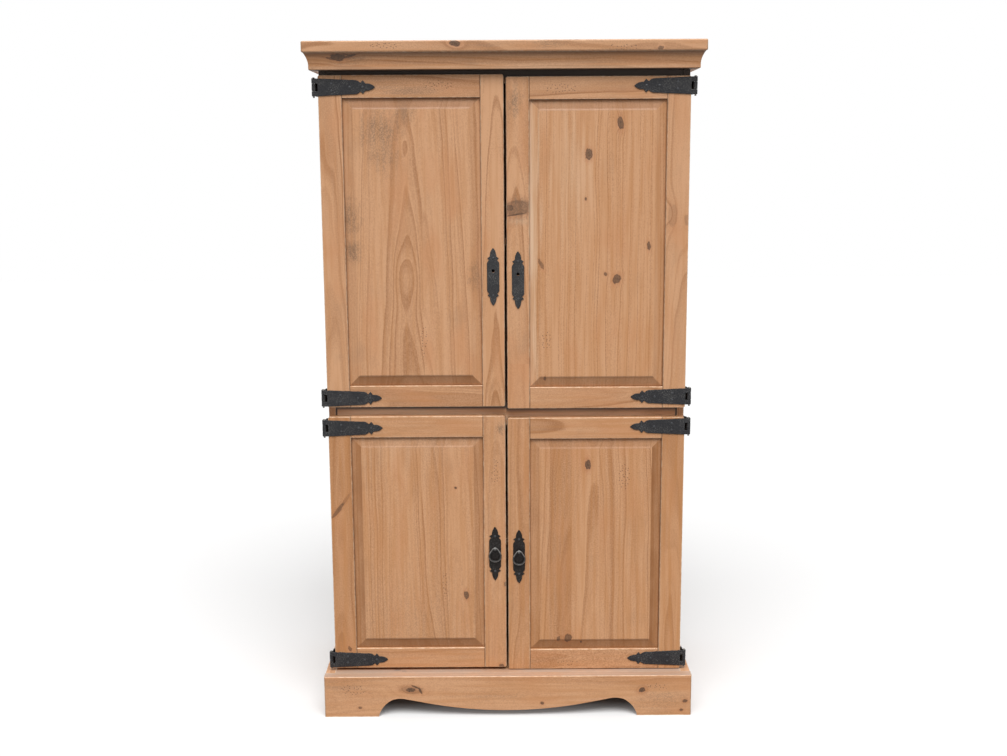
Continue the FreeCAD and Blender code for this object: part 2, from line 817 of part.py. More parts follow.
def cove_face(place_out, level):
    """Section of the cornice moulding; place_out turns its overhang into a coordinate."""
    lip_top = cornice_bottom + cove_lip_height
    rise = slab_bottom - lip_top
    run = cove_head_overhang - cove_lip_overhang
    middle = (cove_lip_overhang + cove_bulge_share * run, lip_top + rise / 2)
    corner = (1 - math.sqrt(0.5)) * cove_lip_round
    lip_bottom = (cove_lip_overhang, cornice_bottom + cove_lip_round)
    lip_middle = (cove_lip_overhang - corner, cornice_bottom + corner)
    steps = [(0.0, cornice_bottom),
             ("line", (cove_lip_overhang - cove_lip_round, cornice_bottom)),
             ("arc", lip_middle, lip_bottom),
             ("line", (cove_lip_overhang, lip_top)),
             ("arc", middle, (cove_head_overhang, slab_bottom)),
             ("line", (0.0, slab_bottom)),
             ("line", (0.0, cornice_bottom))]
    return path_face(steps, place_out, level)


def plan_prism(corners):
    """A block with straight sides in plan that spans the cornice's height."""
    sharp = [(x, y, 0) for x, y in corners]
    return rounded_prism(sharp, in_plan, cornice_bottom - overrun, slab_bottom + overrun)


def cornice_front():
    """The front length of the moulding, mitred at both ends."""
    reach = body_half + cove_head_overhang

    def place_out(out, z, level):
        return Vector(level, door_front_y - out, z)

    bar = cove_face(place_out, -reach).extrude(X_AXIS * 2 * reach)
    far = slab_overhang + overrun
    mitre = plan_prism([(-body_half, door_front_y), (body_half, door_front_y),
                        (body_half + far, door_front_y - far),
                        (-body_half - far, door_front_y - far)])
    return bar.common(mitre).Solids[0]


def cornice_return(side):
    """A side length of the moulding, mitred to the front one and square at the back."""

    def place_out(out, z, level):
        return Vector(side * (body_half + out), level, z)

    start = door_front_y - cove_head_overhang
    bar = cove_face(place_out, start).extrude(Y_AXIS * (back_y - start))
    far = slab_overhang + overrun
    mitre = plan_prism([(side * body_half, door_front_y),
                        (side * (body_half + far), door_front_y - far),
                        (side * (body_half + far), back_y), (side * body_half, back_y)])
    return bar.common(mitre).Solids[0]


def arch_face(half_width, place, level):
    """The scrolled opening under a plinth board, about its middle."""

    def at(share, right):
        return (right * share[0] * half_width, share[1] * arch_rise)

    steps = [at(foot_end_share, -1),
             ("arc", at(foot_middle_share, -1), at(crown_end_share, -1)),
             ("arc", at(crown_top_share, -1), at(crown_start_share, -1)),
             ("line", at(belly_end_share, -1)),
             ("arc", at(belly_middle_share, 1), at(belly_end_share, 1)),
             ("line", at(crown_start_share, 1)),
             ("arc", at(crown_top_share, 1), at(crown_end_share, 1)),
             ("arc", at(foot_middle_share, 1), at(foot_end_share, 1)),
             ("line", at(foot_end_share, -1))]
    return path_face(steps, place, level)


def plinth_front():
    """The front plinth board with its scroll and rounded upper arris and ends."""
    back = plinth_front_y + plinth_thick
    plan = [(-plinth_half, plinth_front_y, plinth_arris), (plinth_half, plinth_front_y, plinth_arris),
            (plinth_half, back, 0), (-plinth_half, back, 0)]
    section = [(plinth_front_y, 0, 0), (back, 0, 0), (back, plinth_height, 0),
               (plinth_front_y, plinth_height, plinth_arris)]
    board = rounded_prism(plan, in_plan, 0, plinth_height)
    board = board.common(rounded_prism(section, in_side, -plinth_half, plinth_half))
    arch = arch_face(plinth_half - foot_width, in_front, plinth_front_y - overrun)
    return board.cut(arch.extrude(Y_AXIS * (plinth_thick + 2 * overrun)))


def plinth_return(side):
    """A side plinth board, scrolled like the front one."""
    front = plinth_front_y + plinth_thick
    section = [(side * body_half, 0, 0), (side * plinth_half, 0, 0),
               (side * plinth_half, plinth_height, plinth_arris),
               (side * body_half, plinth_height, 0)]
    board = rounded_prism(section, in_front, front, back_y)
    arch = arch_face(overall_depth / 2 - foot_width, in_side, body_half - overrun)
    tool = arch.extrude(X_AXIS * (plinth_thick + 2 * overrun))
    if side == LEFT:
        tool.translate(X_AXIS * -(2 * body_half + plinth_thick))
    return board.cut(tool)


def plinth_back():
    """The rail under the floor of the cupboard at its back."""
    return box((-inner_half, inner_half), (back_board_y - plinth_thick, back_board_y),
               (back_foot_lift, plinth_height - deck_thick))


def body_pieces():
    """All pieces of the fixed body, by their names."""
    hinges = all_hinges()
    leaf_screws = [screw(seat, X_AXIS * -side, side_screw_length)
                   for side, level in hinges for seat in leaf_seats(side, level)]
    catches = [catch(side, tier) for tier in ("upper", "lower") for side in (LEFT, RIGHT)]
    return {
        "left_side": body_side(LEFT),
        "right_side": body_side(RIGHT),
        "back_boards": back_boards(),
        "carcass_top": housed_deck(slab_bottom - deck_thick, rail_back_y),
        "middle_deck": housed_deck(middle_rail_top - deck_thick, rail_back_y),
        "bottom_deck": bottom_deck(),
        "top_rail": rail_board(top_rail_bottom, slab_bottom, "upper"),
        "middle_rail": rail_board(middle_rail_bottom, middle_rail_top, "lower"),
        "crown_slab": crown_slab(),
        "cornice_packer": box((-body_half, body_half), (door_front_y, body_front_y),
                              (cornice_bottom, slab_bottom)),
        "cornice_front": cornice_front(),
        "cornice_left": cornice_return(LEFT),
        "cornice_right": cornice_return(RIGHT),
        "plinth_front": plinth_front(),
        "plinth_left": plinth_return(LEFT),
        "plinth_right": plinth_return(RIGHT),
        "plinth_back": plinth_back(),
        "upper_shelf": shelf("upper"),
        "lower_shelf": shelf("lower"),
        "shelf_pins": Part.makeCompound(shelf_pin_rods(0.0)),
        "hinge_side_leaves": Part.makeCompound([side_leaf(*hinge) for hinge in hinges]),
        "side_leaf_screws": Part.makeCompound(leaf_screws),
        "hinge_pins": Part.makeCompound([hinge_pin(*hinge) for hinge in hinges]),
        "ball_catches": Part.makeCompound(catches),
    }


def main():
    os.makedirs("parts", exist_ok=True)
    pieces = body_pieces()
    for tier in ("upper", "lower"):
        for side, side_name in ((LEFT, "left"), (RIGHT, "right")):
            for name, shape in make_door(side, tier).items():
                pieces[f"{tier}_{side_name}_{name}"] = shape
    for name, shape in pieces.items():
        shape.exportStep(f"parts/{name}.step")
    print(len(pieces), "nodes written")


main()
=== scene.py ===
# %% [markdown]
# # A rustic pine cupboard
#
# The solids of this cupboard are already at their real size: boards, doors, hinges and pulls.
# This lesson gives them their looks: the figure of waxed pine, black forged iron, turned screws,
# a camera and soft light. Everything is in metres, with X to the right, Y to the back and Z up.
#
# The solids come first, because every later step takes its places from them.
# %% The fixed frame
import json
import math
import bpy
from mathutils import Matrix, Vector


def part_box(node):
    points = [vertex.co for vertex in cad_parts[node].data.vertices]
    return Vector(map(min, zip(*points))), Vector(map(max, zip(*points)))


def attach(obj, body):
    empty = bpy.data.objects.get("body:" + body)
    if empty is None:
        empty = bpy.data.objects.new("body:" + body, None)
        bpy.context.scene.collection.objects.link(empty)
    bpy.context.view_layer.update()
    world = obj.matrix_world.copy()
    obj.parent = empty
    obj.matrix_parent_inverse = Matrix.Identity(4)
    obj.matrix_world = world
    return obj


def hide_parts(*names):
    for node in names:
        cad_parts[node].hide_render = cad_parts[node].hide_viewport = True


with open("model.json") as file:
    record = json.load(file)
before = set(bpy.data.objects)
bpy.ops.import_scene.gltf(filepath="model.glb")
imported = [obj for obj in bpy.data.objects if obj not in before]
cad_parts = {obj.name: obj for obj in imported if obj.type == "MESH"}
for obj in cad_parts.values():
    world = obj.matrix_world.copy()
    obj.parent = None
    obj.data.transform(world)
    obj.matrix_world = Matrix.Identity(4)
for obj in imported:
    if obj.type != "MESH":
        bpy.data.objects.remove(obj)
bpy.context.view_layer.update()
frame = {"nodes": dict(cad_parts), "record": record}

from types import SimpleNamespace

import bmesh
import bpy
from mathutils import Euler, Vector

bodies = frame["record"]["behaviour"]["bodies"]
body_of_node = {node: body for body, members in bodies.items() for node in members}
MM = 0.001

# %% [markdown]
# ## Small tools for finishes
#
# A finish is written down the way a painter would name it, as a hex colour on the screen.
# The renderer adds up light, so it needs that colour made linear: one function does this.
#
# A material is a net of nodes. It could be built by hand in the editor, but a script can be
# read and changed. One function adds a node: its settings are named, and its inputs are given
# in their order, each a number, a colour or an earlier node. Nodes that are used again and
# again, as for each knot, go into a group that is built once.
# %% Colours and nodes
def linear(hex_colour):
    """A screen colour such as #C99672 as linear red, green, blue and a full alpha."""
    screen = [int(hex_colour[i:i + 2], 16) / 255 for i in (1, 3, 5)]
    light = [c / 12.92 if c <= 0.04045 else ((c + 0.055) / 1.055) ** 2.4 for c in screen]
    return (*light, 1.0)


def add(tree, kind, *inputs, named=None, **settings):
    """Add a node. Inputs fill its open sockets in order, None skips one, named goes by name."""
    node = tree.nodes.new(kind)
    for setting, value in settings.items():
        setattr(node, setting, value)
    sockets = [socket for socket in node.inputs if socket.enabled]
    pairs = list(zip(sockets, inputs))
    pairs += [(node.inputs[name], value) for name, value in (named or {}).items()]
    for socket, value in pairs:
        if isinstance(value, bpy.types.Node):
            value = next(output for output in value.outputs if output.enabled)
        if isinstance(value, bpy.types.NodeSocket):
            tree.links.new(value, socket)
        elif value is not None:
            socket.default_value = value
    return node


def new_group(name, inputs, outputs):
    """An empty node group with these sockets, and the nodes at its two ends."""
    tree = bpy.data.node_groups.new(name, "ShaderNodeTree")
    for label, kind in inputs:
        tree.interface.new_socket(label, in_out="INPUT", socket_type=kind)
    for label in outputs:
        tree.interface.new_socket(label, in_out="OUTPUT", socket_type="NodeSocketFloat")
    return tree, tree.nodes.new("NodeGroupInput").outputs, tree.nodes.new("NodeGroupOutput").inputs


def new_material(name):
    """An empty material, and its tree of nodes."""
    material = bpy.data.materials.new(name)
    material.use_nodes = True
    material.node_tree.nodes.clear()
    return material, material.node_tree


def show(tree, shader):
    """Make this shader what the material shows."""
    tree.links.new(shader.outputs[0], tree.nodes.new("ShaderNodeOutputMaterial").inputs[0])


print("waxed pine in linear light:", [round(c, 3) for c in linear("#C99672")])

# %% [markdown]
# ## The camera
#
# The photographer stood about three metres in front of the doors, with the lens at eye height
# and tipped down a little, so the uprights lean together towards the floor. A small roll
# takes up that the real cupboard leans. The distance and tilt were worked out from where the
# edges of the doors, whose sizes the solids give, stand in the picture.
# %% Camera
image_width_px = 1007
focal_px = 1240.0
camera_from_doors = 3238 * MM
camera_height = 1515 * MM
camera_aside = -7 * MM
camera_tilt = math.radians(10.125)
camera_roll = math.radians(-0.331)

door_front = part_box("upper_left_panel")[0].y
door_front = min(door_front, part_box("upper_left_hinge_stile")[0].y)
lens = bpy.data.cameras.new("camera")
lens.sensor_width = 36.0
lens.lens = focal_px / image_width_px * lens.sensor_width
lens.clip_end = 100.0
camera = bpy.data.objects.new("camera", lens)
camera.location = (camera_aside, door_front - camera_from_doors, camera_height)
camera.rotation_mode = "QUATERNION"
tip = Euler((math.pi / 2 - camera_tilt, 0, 0)).to_quaternion()
camera.rotation_quaternion = tip @ Euler((0, 0, camera_roll)).to_quaternion()
bpy.context.scene.collection.objects.link(camera)
bpy.context.scene.camera = camera
print("lens", round(lens.lens, 1), "mm, camera at", [round(c, 3) for c in camera.location])

# %% [markdown]
# ## The white surroundings
#
# The cupboard stands before a plain white ground. The world could simply be lit until it is
# white, but that light would also bleach the wood. So it is white to the eye, in a mirror and
# through glass, and dimmer as a lamp.
# %% World
def seen_directly(tree):
    """One where the ray comes from the camera, a gloss or a glass, and zero for other light."""
    path = tree.nodes.new("ShaderNodeLightPath").outputs
    gloss = add(tree, "ShaderNodeMath", path["Is Camera Ray"], path["Is Glossy Ray"],
                operation="MAXIMUM")
    return add(tree, "ShaderNodeMath", gloss, path["Is Transmission Ray"], operation="MAXIMUM")


world_strength = 0.40
scene = bpy.context.scene
scene.view_settings.view_transform = "Standard"
world = bpy.data.worlds.new("studio")
scene.world = world
world.use_nodes = True
tree = world.node_tree
tree.nodes.clear()
strength = add(tree, "ShaderNodeMapRange", seen_directly(tree), 0.0, 1.0, world_strength, 1.0)
sky = add(tree, "ShaderNodeBackground", (1, 1, 1, 1), strength)
tree.links.new(sky.outputs[0], tree.nodes.new("ShaderNodeOutputWorld").inputs[0])
print("the world shines at", world_strength)

# %% [markdown]
# ## The floor
#
# The floor is matt white paper, and it works as the world does: pale where a camera or a
# mirror looks at it, but it throws less light back up at the wood, as a darker studio floor
# would. A little light of its own makes it white and ends under the cupboard, so that the
# cupboard's shadow stays on it, darkest between its feet.
# %% Floor
floor_half = 12.0
floor_seen = 0.73
floor_as_lamp = 0.26
floor_lift = 0.10
under_fade = 60 * MM
floor_mesh = bpy.data.meshes.new("floor")
floor_mesh.from_pydata([(x * floor_half, y * floor_half, 0) for x, y in
                        ((-1, -1), (1, -1), (1, 1), (-1, 1))], [], [(0, 1, 2, 3)])
floor = bpy.data.objects.new("floor", floor_mesh)
scene.collection.objects.link(floor)
paper, tree = new_material("matt_white_paper_floor")
seen = seen_directly(tree)
matt = add(tree, "ShaderNodeBsdfDiffuse",
           add(tree, "ShaderNodeMapRange", seen, 0.0, 1.0, floor_as_lamp, floor_seen))
foot_low, foot_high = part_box("plinth_left")[0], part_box("plinth_right")[1]
spot = add(tree, "ShaderNodeVectorMath", tree.nodes.new("ShaderNodeTexCoord").outputs["Object"],
           tuple((foot_low + foot_high) / 2), operation="SUBTRACT")
spot = add(tree, "ShaderNodeVectorMath", spot, operation="ABSOLUTE")
spot = add(tree, "ShaderNodeVectorMath", spot, tuple((foot_high - foot_low) / 2),
           operation="SUBTRACT")
spot = add(tree, "ShaderNodeSeparateXYZ", spot).outputs
outside = add(tree, "ShaderNodeMath", spot["X"], spot["Y"], operation="MAXIMUM")
lift = add(tree, "ShaderNodeMapRange", outside, -under_fade, 0.0, 0.0, floor_lift)
lift = add(tree, "ShaderNodeMath", seen, lift, operation="MULTIPLY")
glow = add(tree, "ShaderNodeEmission", (1, 1, 1, 1), lift)
show(tree, add(tree, "ShaderNodeAddShader", matt, glow))
floor_mesh.materials.append(paper)
print("the floor is", 2 * floor_half, "m wide and lifted by", floor_lift)

# %% [markdown]
# ## Daylight from above
#
# The photograph has no hard shadows: the light is a wide, high sky in front of the doors. Area
# lamps could do that, but their light falls off with distance. Two suns with a wide angle
# shine alike on the top and the foot of the cupboard, a little stronger from the right.
# %% Lamps
sun_height = 57
sun_spread = 36
sun_aside = 18


def soft_sun(name, aside, height, spread, strength):
    """A far lamp in front of the doors: angles aside and up, and how wide it looks."""
    light = bpy.data.lights.new(name, "SUN")
    light.angle = math.radians(spread)
    light.energy = strength
    lamp = bpy.data.objects.new(name, light)
    lamp.rotation_mode = "XYZ"
    lamp.rotation_euler = (math.radians(90 - height), 0, math.radians(aside))
    scene.collection.objects.link(lamp)


soft_sun("high_front_right", sun_aside, sun_height, sun_spread, 1.95)
soft_sun("high_front_left", -sun_aside, sun_height, sun_spread, 1.48)
print("two suns", sun_height, "degrees up")

# %% [markdown]
# ## The figure of pine
#
# A board shows the rings of the tree that it was sawn from: pale early wood that darkens to a
# narrow line of late wood, year by year. An image of wood could be wrapped over the boards,
# but then ends and faces don't meet. Here the tree itself is described: each place in a board
# has a distance from the tree's heart, and the rings are steps of that distance. Faces, edges
# and ends then all show what the saw would have met, and a heart that leans along the board
# gives the pointed arches of a flat-sawn one.
# %% Growth rings as a node group
waver_reach = (95.0, 95.0, 520.0)
waver_depth = 17.0
ripple_reach = (30.0, 30.0, 110.0)
ripple_depth = 2.0
streak_width = 2.4
streak_length = 520.0
fibre_reach = (1.5, 1.5, 16.0)


def stretched_noise(tree, place, reach, seed, detail):
    """Cloudy noise whose clouds are reach millimetres long on each axis."""
    scaled = add(tree, "ShaderNodeVectorMath", place, tuple(1 / side for side in reach),
                 operation="MULTIPLY")
    return add(tree, "ShaderNodeTexNoise", scaled, seed, 1.0, detail, noise_dimensions="4D")


def pine_figure_group():
    """Late wood, band tone, streaks and fibre at a place given in millimetres."""
    tree, given, wanted = new_group(
        "pine_figure",
        [("Place", "NodeSocketVector"), ("Heart Across", "NodeSocketFloat"),
         ("Heart Depth", "NodeSocketFloat"), ("Lean", "NodeSocketFloat"),
         ("Ring Width", "NodeSocketFloat"), ("Push", "NodeSocketFloat"),
         ("Seed", "NodeSocketFloat")],
        ["Late", "Band", "Streak", "Fibre"])
    place, seed = given["Place"], given["Seed"]
    axis = add(tree, "ShaderNodeSeparateXYZ", place).outputs

    # The heart wanders along the board, both across it and into it
    waver = stretched_noise(tree, place, waver_reach, seed, 1.5)
    waver = add(tree, "ShaderNodeVectorMath", waver.outputs["Color"], (0.5, 0.5, 0.5),
                operation="SUBTRACT")
    waver = add(tree, "ShaderNodeVectorMath", waver, (2 * waver_depth,) * 3,
                operation="MULTIPLY")
    waver = add(tree, "ShaderNodeSeparateXYZ", waver).outputs
    across = add(tree, "ShaderNodeMath", axis["X"], given["Heart Across"], operation="SUBTRACT")
    across = add(tree, "ShaderNodeMath", across, waver["X"], operation="ADD")
    leaned = add(tree, "ShaderNodeMath", axis["Z"], given["Lean"], given["Heart Depth"],
                 operation="MULTIPLY_ADD")
    depth = add(tree, "ShaderNodeMath", axis["Y"], leaned, operation="SUBTRACT")
    depth = add(tree, "ShaderNodeMath", depth, waver["Y"], operation="ADD")
    apart = add(tree, "ShaderNodeCombineXYZ", across, depth, 0.0)
    radius = add(tree, "ShaderNodeVectorMath", apart, operation="LENGTH").outputs["Value"]
    ripple = stretched_noise(tree, place, ripple_reach, seed, 1.0)
    ripple = add(tree, "ShaderNodeMapRange", ripple, 0.0, 1.0, -ripple_depth, ripple_depth)
    radius = add(tree, "ShaderNodeMath", radius, ripple, operation="ADD")
    radius = add(tree, "ShaderNodeMath", radius, given["Push"], operation="ADD")

    # Years of uneven width, each with its own strength and tone
    count = add(tree, "ShaderNodeMath", radius, given["Ring Width"], operation="DIVIDE")
    slow_years = add(tree, "ShaderNodeMath", count, seed, operation="ADD")
    slow_years = add(tree, "ShaderNodeTexNoise", slow_years, 0.31, 1.0, noise_dimensions="1D")
    count = add(tree, "ShaderNodeMath", slow_years, 2.6, count, operation="MULTIPLY_ADD")
    year = add(tree, "ShaderNodeMath", count, operation="FRACT")
    darkening = add(tree, "ShaderNodeMapRange", year, 0.45, 0.93, 0.0, 1.0,
                    interpolation_type="SMOOTHERSTEP")
    winter = add(tree, "ShaderNodeMapRange", year, 0.93, 1.0, 1.0, 0.0,
                 interpolation_type="SMOOTHSTEP")
    late = add(tree, "ShaderNodeMath", darkening, winter, operation="MULTIPLY")
    which = add(tree, "ShaderNodeMath", count, operation="FLOOR")
    which = add(tree, "ShaderNodeMath", which, seed, operation="ADD")
    chance = add(tree, "ShaderNodeTexWhiteNoise", which, noise_dimensions="1D").outputs
    strong = add(tree, "ShaderNodeMapRange", chance["Value"], 0.0, 1.0, 0.15, 1.0)
    late = add(tree, "ShaderNodeMath", late, strong, operation="MULTIPLY")
    tree.links.new(late.outputs[0], wanted["Late"])
    tone = add(tree, "ShaderNodeSeparateColor", chance["Color"]).outputs["Red"]
    edge_in = add(tree, "ShaderNodeMapRange", year, 0.0, 0.12, 0.0, 1.0)
    edge_out = add(tree, "ShaderNodeMapRange", year, 0.9, 1.0, 1.0, 0.0)
    tone = add(tree, "ShaderNodeMath", tone, 0.5, operation="SUBTRACT")
    tone = add(tree, "ShaderNodeMath", tone, edge_in, operation="MULTIPLY")
    tone = add(tree, "ShaderNodeMath", tone, edge_out, operation="MULTIPLY")
    tree.links.new(tone.outputs[0], wanted["Band"])

    # Streaks follow the years, fibre follows the board
    ringwise = add(tree, "ShaderNodeCombineXYZ",
                   add(tree, "ShaderNodeMath", radius, 1 / streak_width, operation="MULTIPLY"),
                   add(tree, "ShaderNodeMath", axis["Z"], 1 / streak_length,
                       operation="MULTIPLY"), seed)
    streak = add(tree, "ShaderNodeTexNoise", ringwise, 1.0, 2.0)
    tree.links.new(streak.outputs[0], wanted["Streak"])
    fibre = stretched_noise(tree, place, fibre_reach, seed, 3.0)
    tree.links.new(fibre.outputs[0], wanted["Fibre"])
    return tree


pine_figure = pine_figure_group()
print("pine_figure has", len(pine_figure.nodes), "nodes")

# %% [markdown]
# ## Knots
#
# A knot is where a branch left the trunk. The rings bend round it, a dark rim of bark may
# stand about it, and its own tight rings show inside. It could be painted on top, but then
# the figure would run straight under it. So a knot does two things: it pushes the rings
# aside before they are drawn, and it colours its own place after. Without a dark heart a pull
# on the rings makes the closed flame that a swelling in the trunk leaves. The branch thins out
# as it goes in, so no mark reaches deeper than `mark_depth` millimetres.
# %% A knot as a node group
mark_depth = 80.0


def knot_group():
    """Adds one knot to what the knots before it gave."""
    carried = ["Push", "Core", "Rim", "Halo"]
    tree, given, wanted = new_group(
        "pine_knot",
        [("Place", "NodeSocketVector"), ("Centre", "NodeSocketVector"),
         ("Radius", "NodeSocketFloat"), ("Stretch", "NodeSocketFloat"),
         ("Turn", "NodeSocketFloat"), ("Dark", "NodeSocketFloat"), ("Force", "NodeSocketFloat")]
        + [(label, "NodeSocketFloat") for label in carried],
        carried)
    away = add(tree, "ShaderNodeVectorMath", given["Place"], given["Centre"], operation="SUBTRACT")
    turned = add(tree, "ShaderNodeVectorRotate", away, (0, 0, 0), given["Turn"],
                 rotation_type="Y_AXIS")
    axis = add(tree, "ShaderNodeSeparateXYZ", turned).outputs
    length = add(tree, "ShaderNodeMath", axis["Z"], given["Stretch"], operation="DIVIDE")
    flat = add(tree, "ShaderNodeCombineXYZ", axis["X"], axis["Y"], length)
    widths = add(tree, "ShaderNodeCombineXYZ", given["Radius"], mark_depth, given["Radius"])
    scaled = add(tree, "ShaderNodeVectorMath", flat, widths, operation="DIVIDE")
    ragged = add(tree, "ShaderNodeTexNoise", scaled, given["Radius"], 1.3, 5.0, 0.62,
                 noise_dimensions="4D")
    ragged = add(tree, "ShaderNodeMapRange", ragged, 0.0, 1.0, -0.75, 0.75)
    round_distance = add(tree, "ShaderNodeVectorMath", scaled, operation="LENGTH").outputs["Value"]
    distance = add(tree, "ShaderNodeMath", round_distance, ragged, operation="ADD")
    near = add(tree, "ShaderNodeMath", round_distance, 1.9, operation="DIVIDE")
    near = add(tree, "ShaderNodeMath", near, near, operation="MULTIPLY")
    near = add(tree, "ShaderNodeMath", near, -1.0, operation="MULTIPLY")
    near = add(tree, "ShaderNodeMath", near, operation="EXPONENT")
    force = add(tree, "ShaderNodeMath", near, given["Force"], operation="MULTIPLY")
    push = add(tree, "ShaderNodeMath", force, given["Radius"], given["Push"],
               operation="MULTIPLY_ADD")
    tree.links.new(push.outputs[0], wanted["Push"])
    inside = add(tree, "ShaderNodeMapRange", distance, 0.55, 1.1, 1.0, 0.0,
                 interpolation_type="SMOOTHSTEP")
    outside = add(tree, "ShaderNodeMapRange", distance, 0.95, 1.35, 1.0, 0.0,
                  interpolation_type="SMOOTHSTEP")
    bark = add(tree, "ShaderNodeMath", outside, inside, operation="SUBTRACT")
    around = add(tree, "ShaderNodeMapRange", distance, 0.9, 2.8, 1.0, 0.0,
                 interpolation_type="SMOOTHSTEP")
    for label, amount in (("Core", inside), ("Rim", bark), ("Halo", around)):
        dark = add(tree, "ShaderNodeMath", amount, given["Dark"], operation="MULTIPLY")
        most = add(tree, "ShaderNodeMath", dark, given[label], operation="MAXIMUM")
        tree.links.new(most.outputs[0], wanted[label])
    return tree


pine_knot = knot_group()
print("pine_knot has", len(pine_knot.nodes), "nodes")

# %% [markdown]
# ## A waxed, distressed board
#
# Each board is its own piece of a tree, so each gets its own material. One material for all
# the wood would be quicker to write, but neighbouring boards would then share their figure, as
# real ones never do. The material is built in layers, in the order in which the workshop and
# the years laid them on, and each layer below is one short function.
#
# `place` counts millimetres from the board's lowest corner: across it, into it and along it.
# All sizes in these layers are such millimetres.
# %% Places on a board and small steps
def board_place(tree, name, axes):
    """Millimetres across, into and along the board, counted from its lowest corner."""
    low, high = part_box(name)
    start = add(tree, "ShaderNodeTexCoord").outputs["Object"]
    moved = add(tree, "ShaderNodeVectorMath", start, tuple(low), operation="SUBTRACT")
    scaled = add(tree, "ShaderNodeVectorMath", moved, (1 / MM,) * 3, operation="MULTIPLY")
    axis = add(tree, "ShaderNodeSeparateXYZ", scaled).outputs
    place = add(tree, "ShaderNodeCombineXYZ", *[axis[letter] for letter in axes])
    size = [(high["XYZ".index(letter)] - low["XYZ".index(letter)]) / MM for letter in axes]
    return place, size


def fade(tree, value, start, end, first=1.0, last=0.0):
    """A smooth change from first to last while value goes from start to end."""
    return add(tree, "ShaderNodeMapRange", value, start, end, first, last,
               interpolation_type="SMOOTHSTEP")


def tinted(tree, amount, below, hex_colour):
    """The colour below, covered by a hex colour by this amount."""
    return add(tree, "ShaderNodeMix", amount, below, linear(hex_colour), data_type="RGBA")


def within(tree, place, across, along, half_across, half_along):
    """Distance from a spot on the board's face, one at the rim of its oval."""
    off = add(tree, "ShaderNodeVectorMath", place, (across, 0, along), operation="SUBTRACT")
    off = add(tree, "ShaderNodeVectorMath", off,
              (1 / half_across, 1 / mark_depth, 1 / half_along), operation="MULTIPLY")
    return add(tree, "ShaderNodeVectorMath", off, operation="LENGTH").outputs["Value"]


def use_group(tree, group, given):
    """Add a node group, with values or sockets for its named inputs."""
    node = add(tree, "ShaderNodeGroup", node_tree=group)
    for label, value in given.items():
        if isinstance(value, bpy.types.Node):
            value = value.outputs[0]
        if isinstance(value, bpy.types.NodeSocket):
            tree.links.new(value, node.inputs[label])
        else:
            node.inputs[label].default_value = value
    return node.outputs


def new_board(name, axes, seed):
    """The empty material of one board, with what all its layers share."""
    material, tree = new_material("waxed_pine_" + name)
    place, size = board_place(tree, name, axes)
    return SimpleNamespace(
        material=material, tree=tree, place=place, size=size, axes=axes, seed=seed,
        axis=add(tree, "ShaderNodeSeparateXYZ", place).outputs,
        normal=add(tree, "ShaderNodeTexCoord").outputs["Normal"])


def cover(board, amount, hex_colour):
    """Cover the board's wood so far with a colour by this amount."""
    board.wood = tinted(board.tree, amount, board.wood, hex_colour)


# %% [markdown]
# ### Staves, joints and knots
#
# Wide boards are glued up from narrow staves, and each stave comes from another tree. A colour
# ramp with hard steps holds one row for each: its tone, where its heart lay and its seed. A
# stile may be lengthened with a finger joint, and below that the wood changes too. The knots
# are strung one after another, and the rings are drawn last, pushed aside by all of them.
# %% The figure of one board
seed_between_staves = 40.0
seed_below_joint = 23.0
stave_seed_stride = 0.37


def board_figure(board, heart, lean, ring, staves, joint, knots):
    """Draws a board's rings, and notes its staves, its joint and its knots."""
    tree, width = board.tree, board.size[0]
    heart_across, figure_seed = heart[0] * width, board.seed
    board.stave = board.below_joint = None
    if staves:
        share = add(tree, "ShaderNodeMath", board.axis["X"], width, operation="DIVIDE")
        ramp = add(tree, "ShaderNodeValToRGB", share)
        ramp.color_ramp.interpolation = "CONSTANT"
        elements = ramp.color_ramp.elements
        elements.remove(elements[1])
        for index, (start, shade, shift) in enumerate(staves):
            element = elements[0] if index == 0 else elements.new(start)
            element.position = start
            element.color = (shade, shift, (index * stave_seed_stride) % 1.0, 1.0)
        board.stave = add(tree, "ShaderNodeSeparateColor", ramp.outputs["Color"]).outputs
        heart_across = add(tree, "ShaderNodeMapRange", board.stave["Green"], 0.0, 1.0,
                           heart_across - width, heart_across + width)
        figure_seed = add(tree, "ShaderNodeMath", board.stave["Blue"], seed_between_staves,
                          board.seed, operation="MULTIPLY_ADD")
    if joint:
        board.below_joint = add(tree, "ShaderNodeMath", board.axis["Z"], joint,
                                operation="LESS_THAN")
        figure_seed = add(tree, "ShaderNodeMath", board.below_joint, seed_below_joint,
                          board.seed, operation="MULTIPLY_ADD")
    board.found = {"Push": 0.0, "Core": 0.0, "Rim": 0.0, "Halo": 0.0}
    for across, along, radius, stretch, turn, dark, force in knots:
        knot = use_group(tree, pine_knot, {
            "Place": board.place, "Centre": (across, 0.0, along), "Radius": radius,
            "Stretch": stretch, "Turn": math.radians(turn), "Dark": dark, "Force": force,
            **board.found})
        board.found = {label: knot[label] for label in board.found}
    return use_group(tree, pine_figure, {
        "Place": board.place, "Heart Across": heart_across, "Heart Depth": heart[1],
        "Lean": lean, "Ring Width": ring, "Push": board.found["Push"], "Seed": figure_seed})


print("board_figure strings knots before it draws rings")

# %% [markdown]
# ### Pale and dark wood
#
# Late wood, the tone of each year, streaks, fibre and pores all darken the wood a little. They
# are added up by weight and pick a colour between early and late wood. Noise stays near its
# middle, so each part is stretched about that first. Real pores are too fine to show from
# three metres, so they are drawn as coarse as they need to show.
# %% Wood before any finish
early_wood = "#D09E76"
late_wood = "#A27049"
pore_reach = (2.4, 2.4, 3.6)
bare_wood_dark = 0.22
late_weight = 0.60
year_weight = 0.34
streak_weight = 0.34
fibre_weight = 0.16


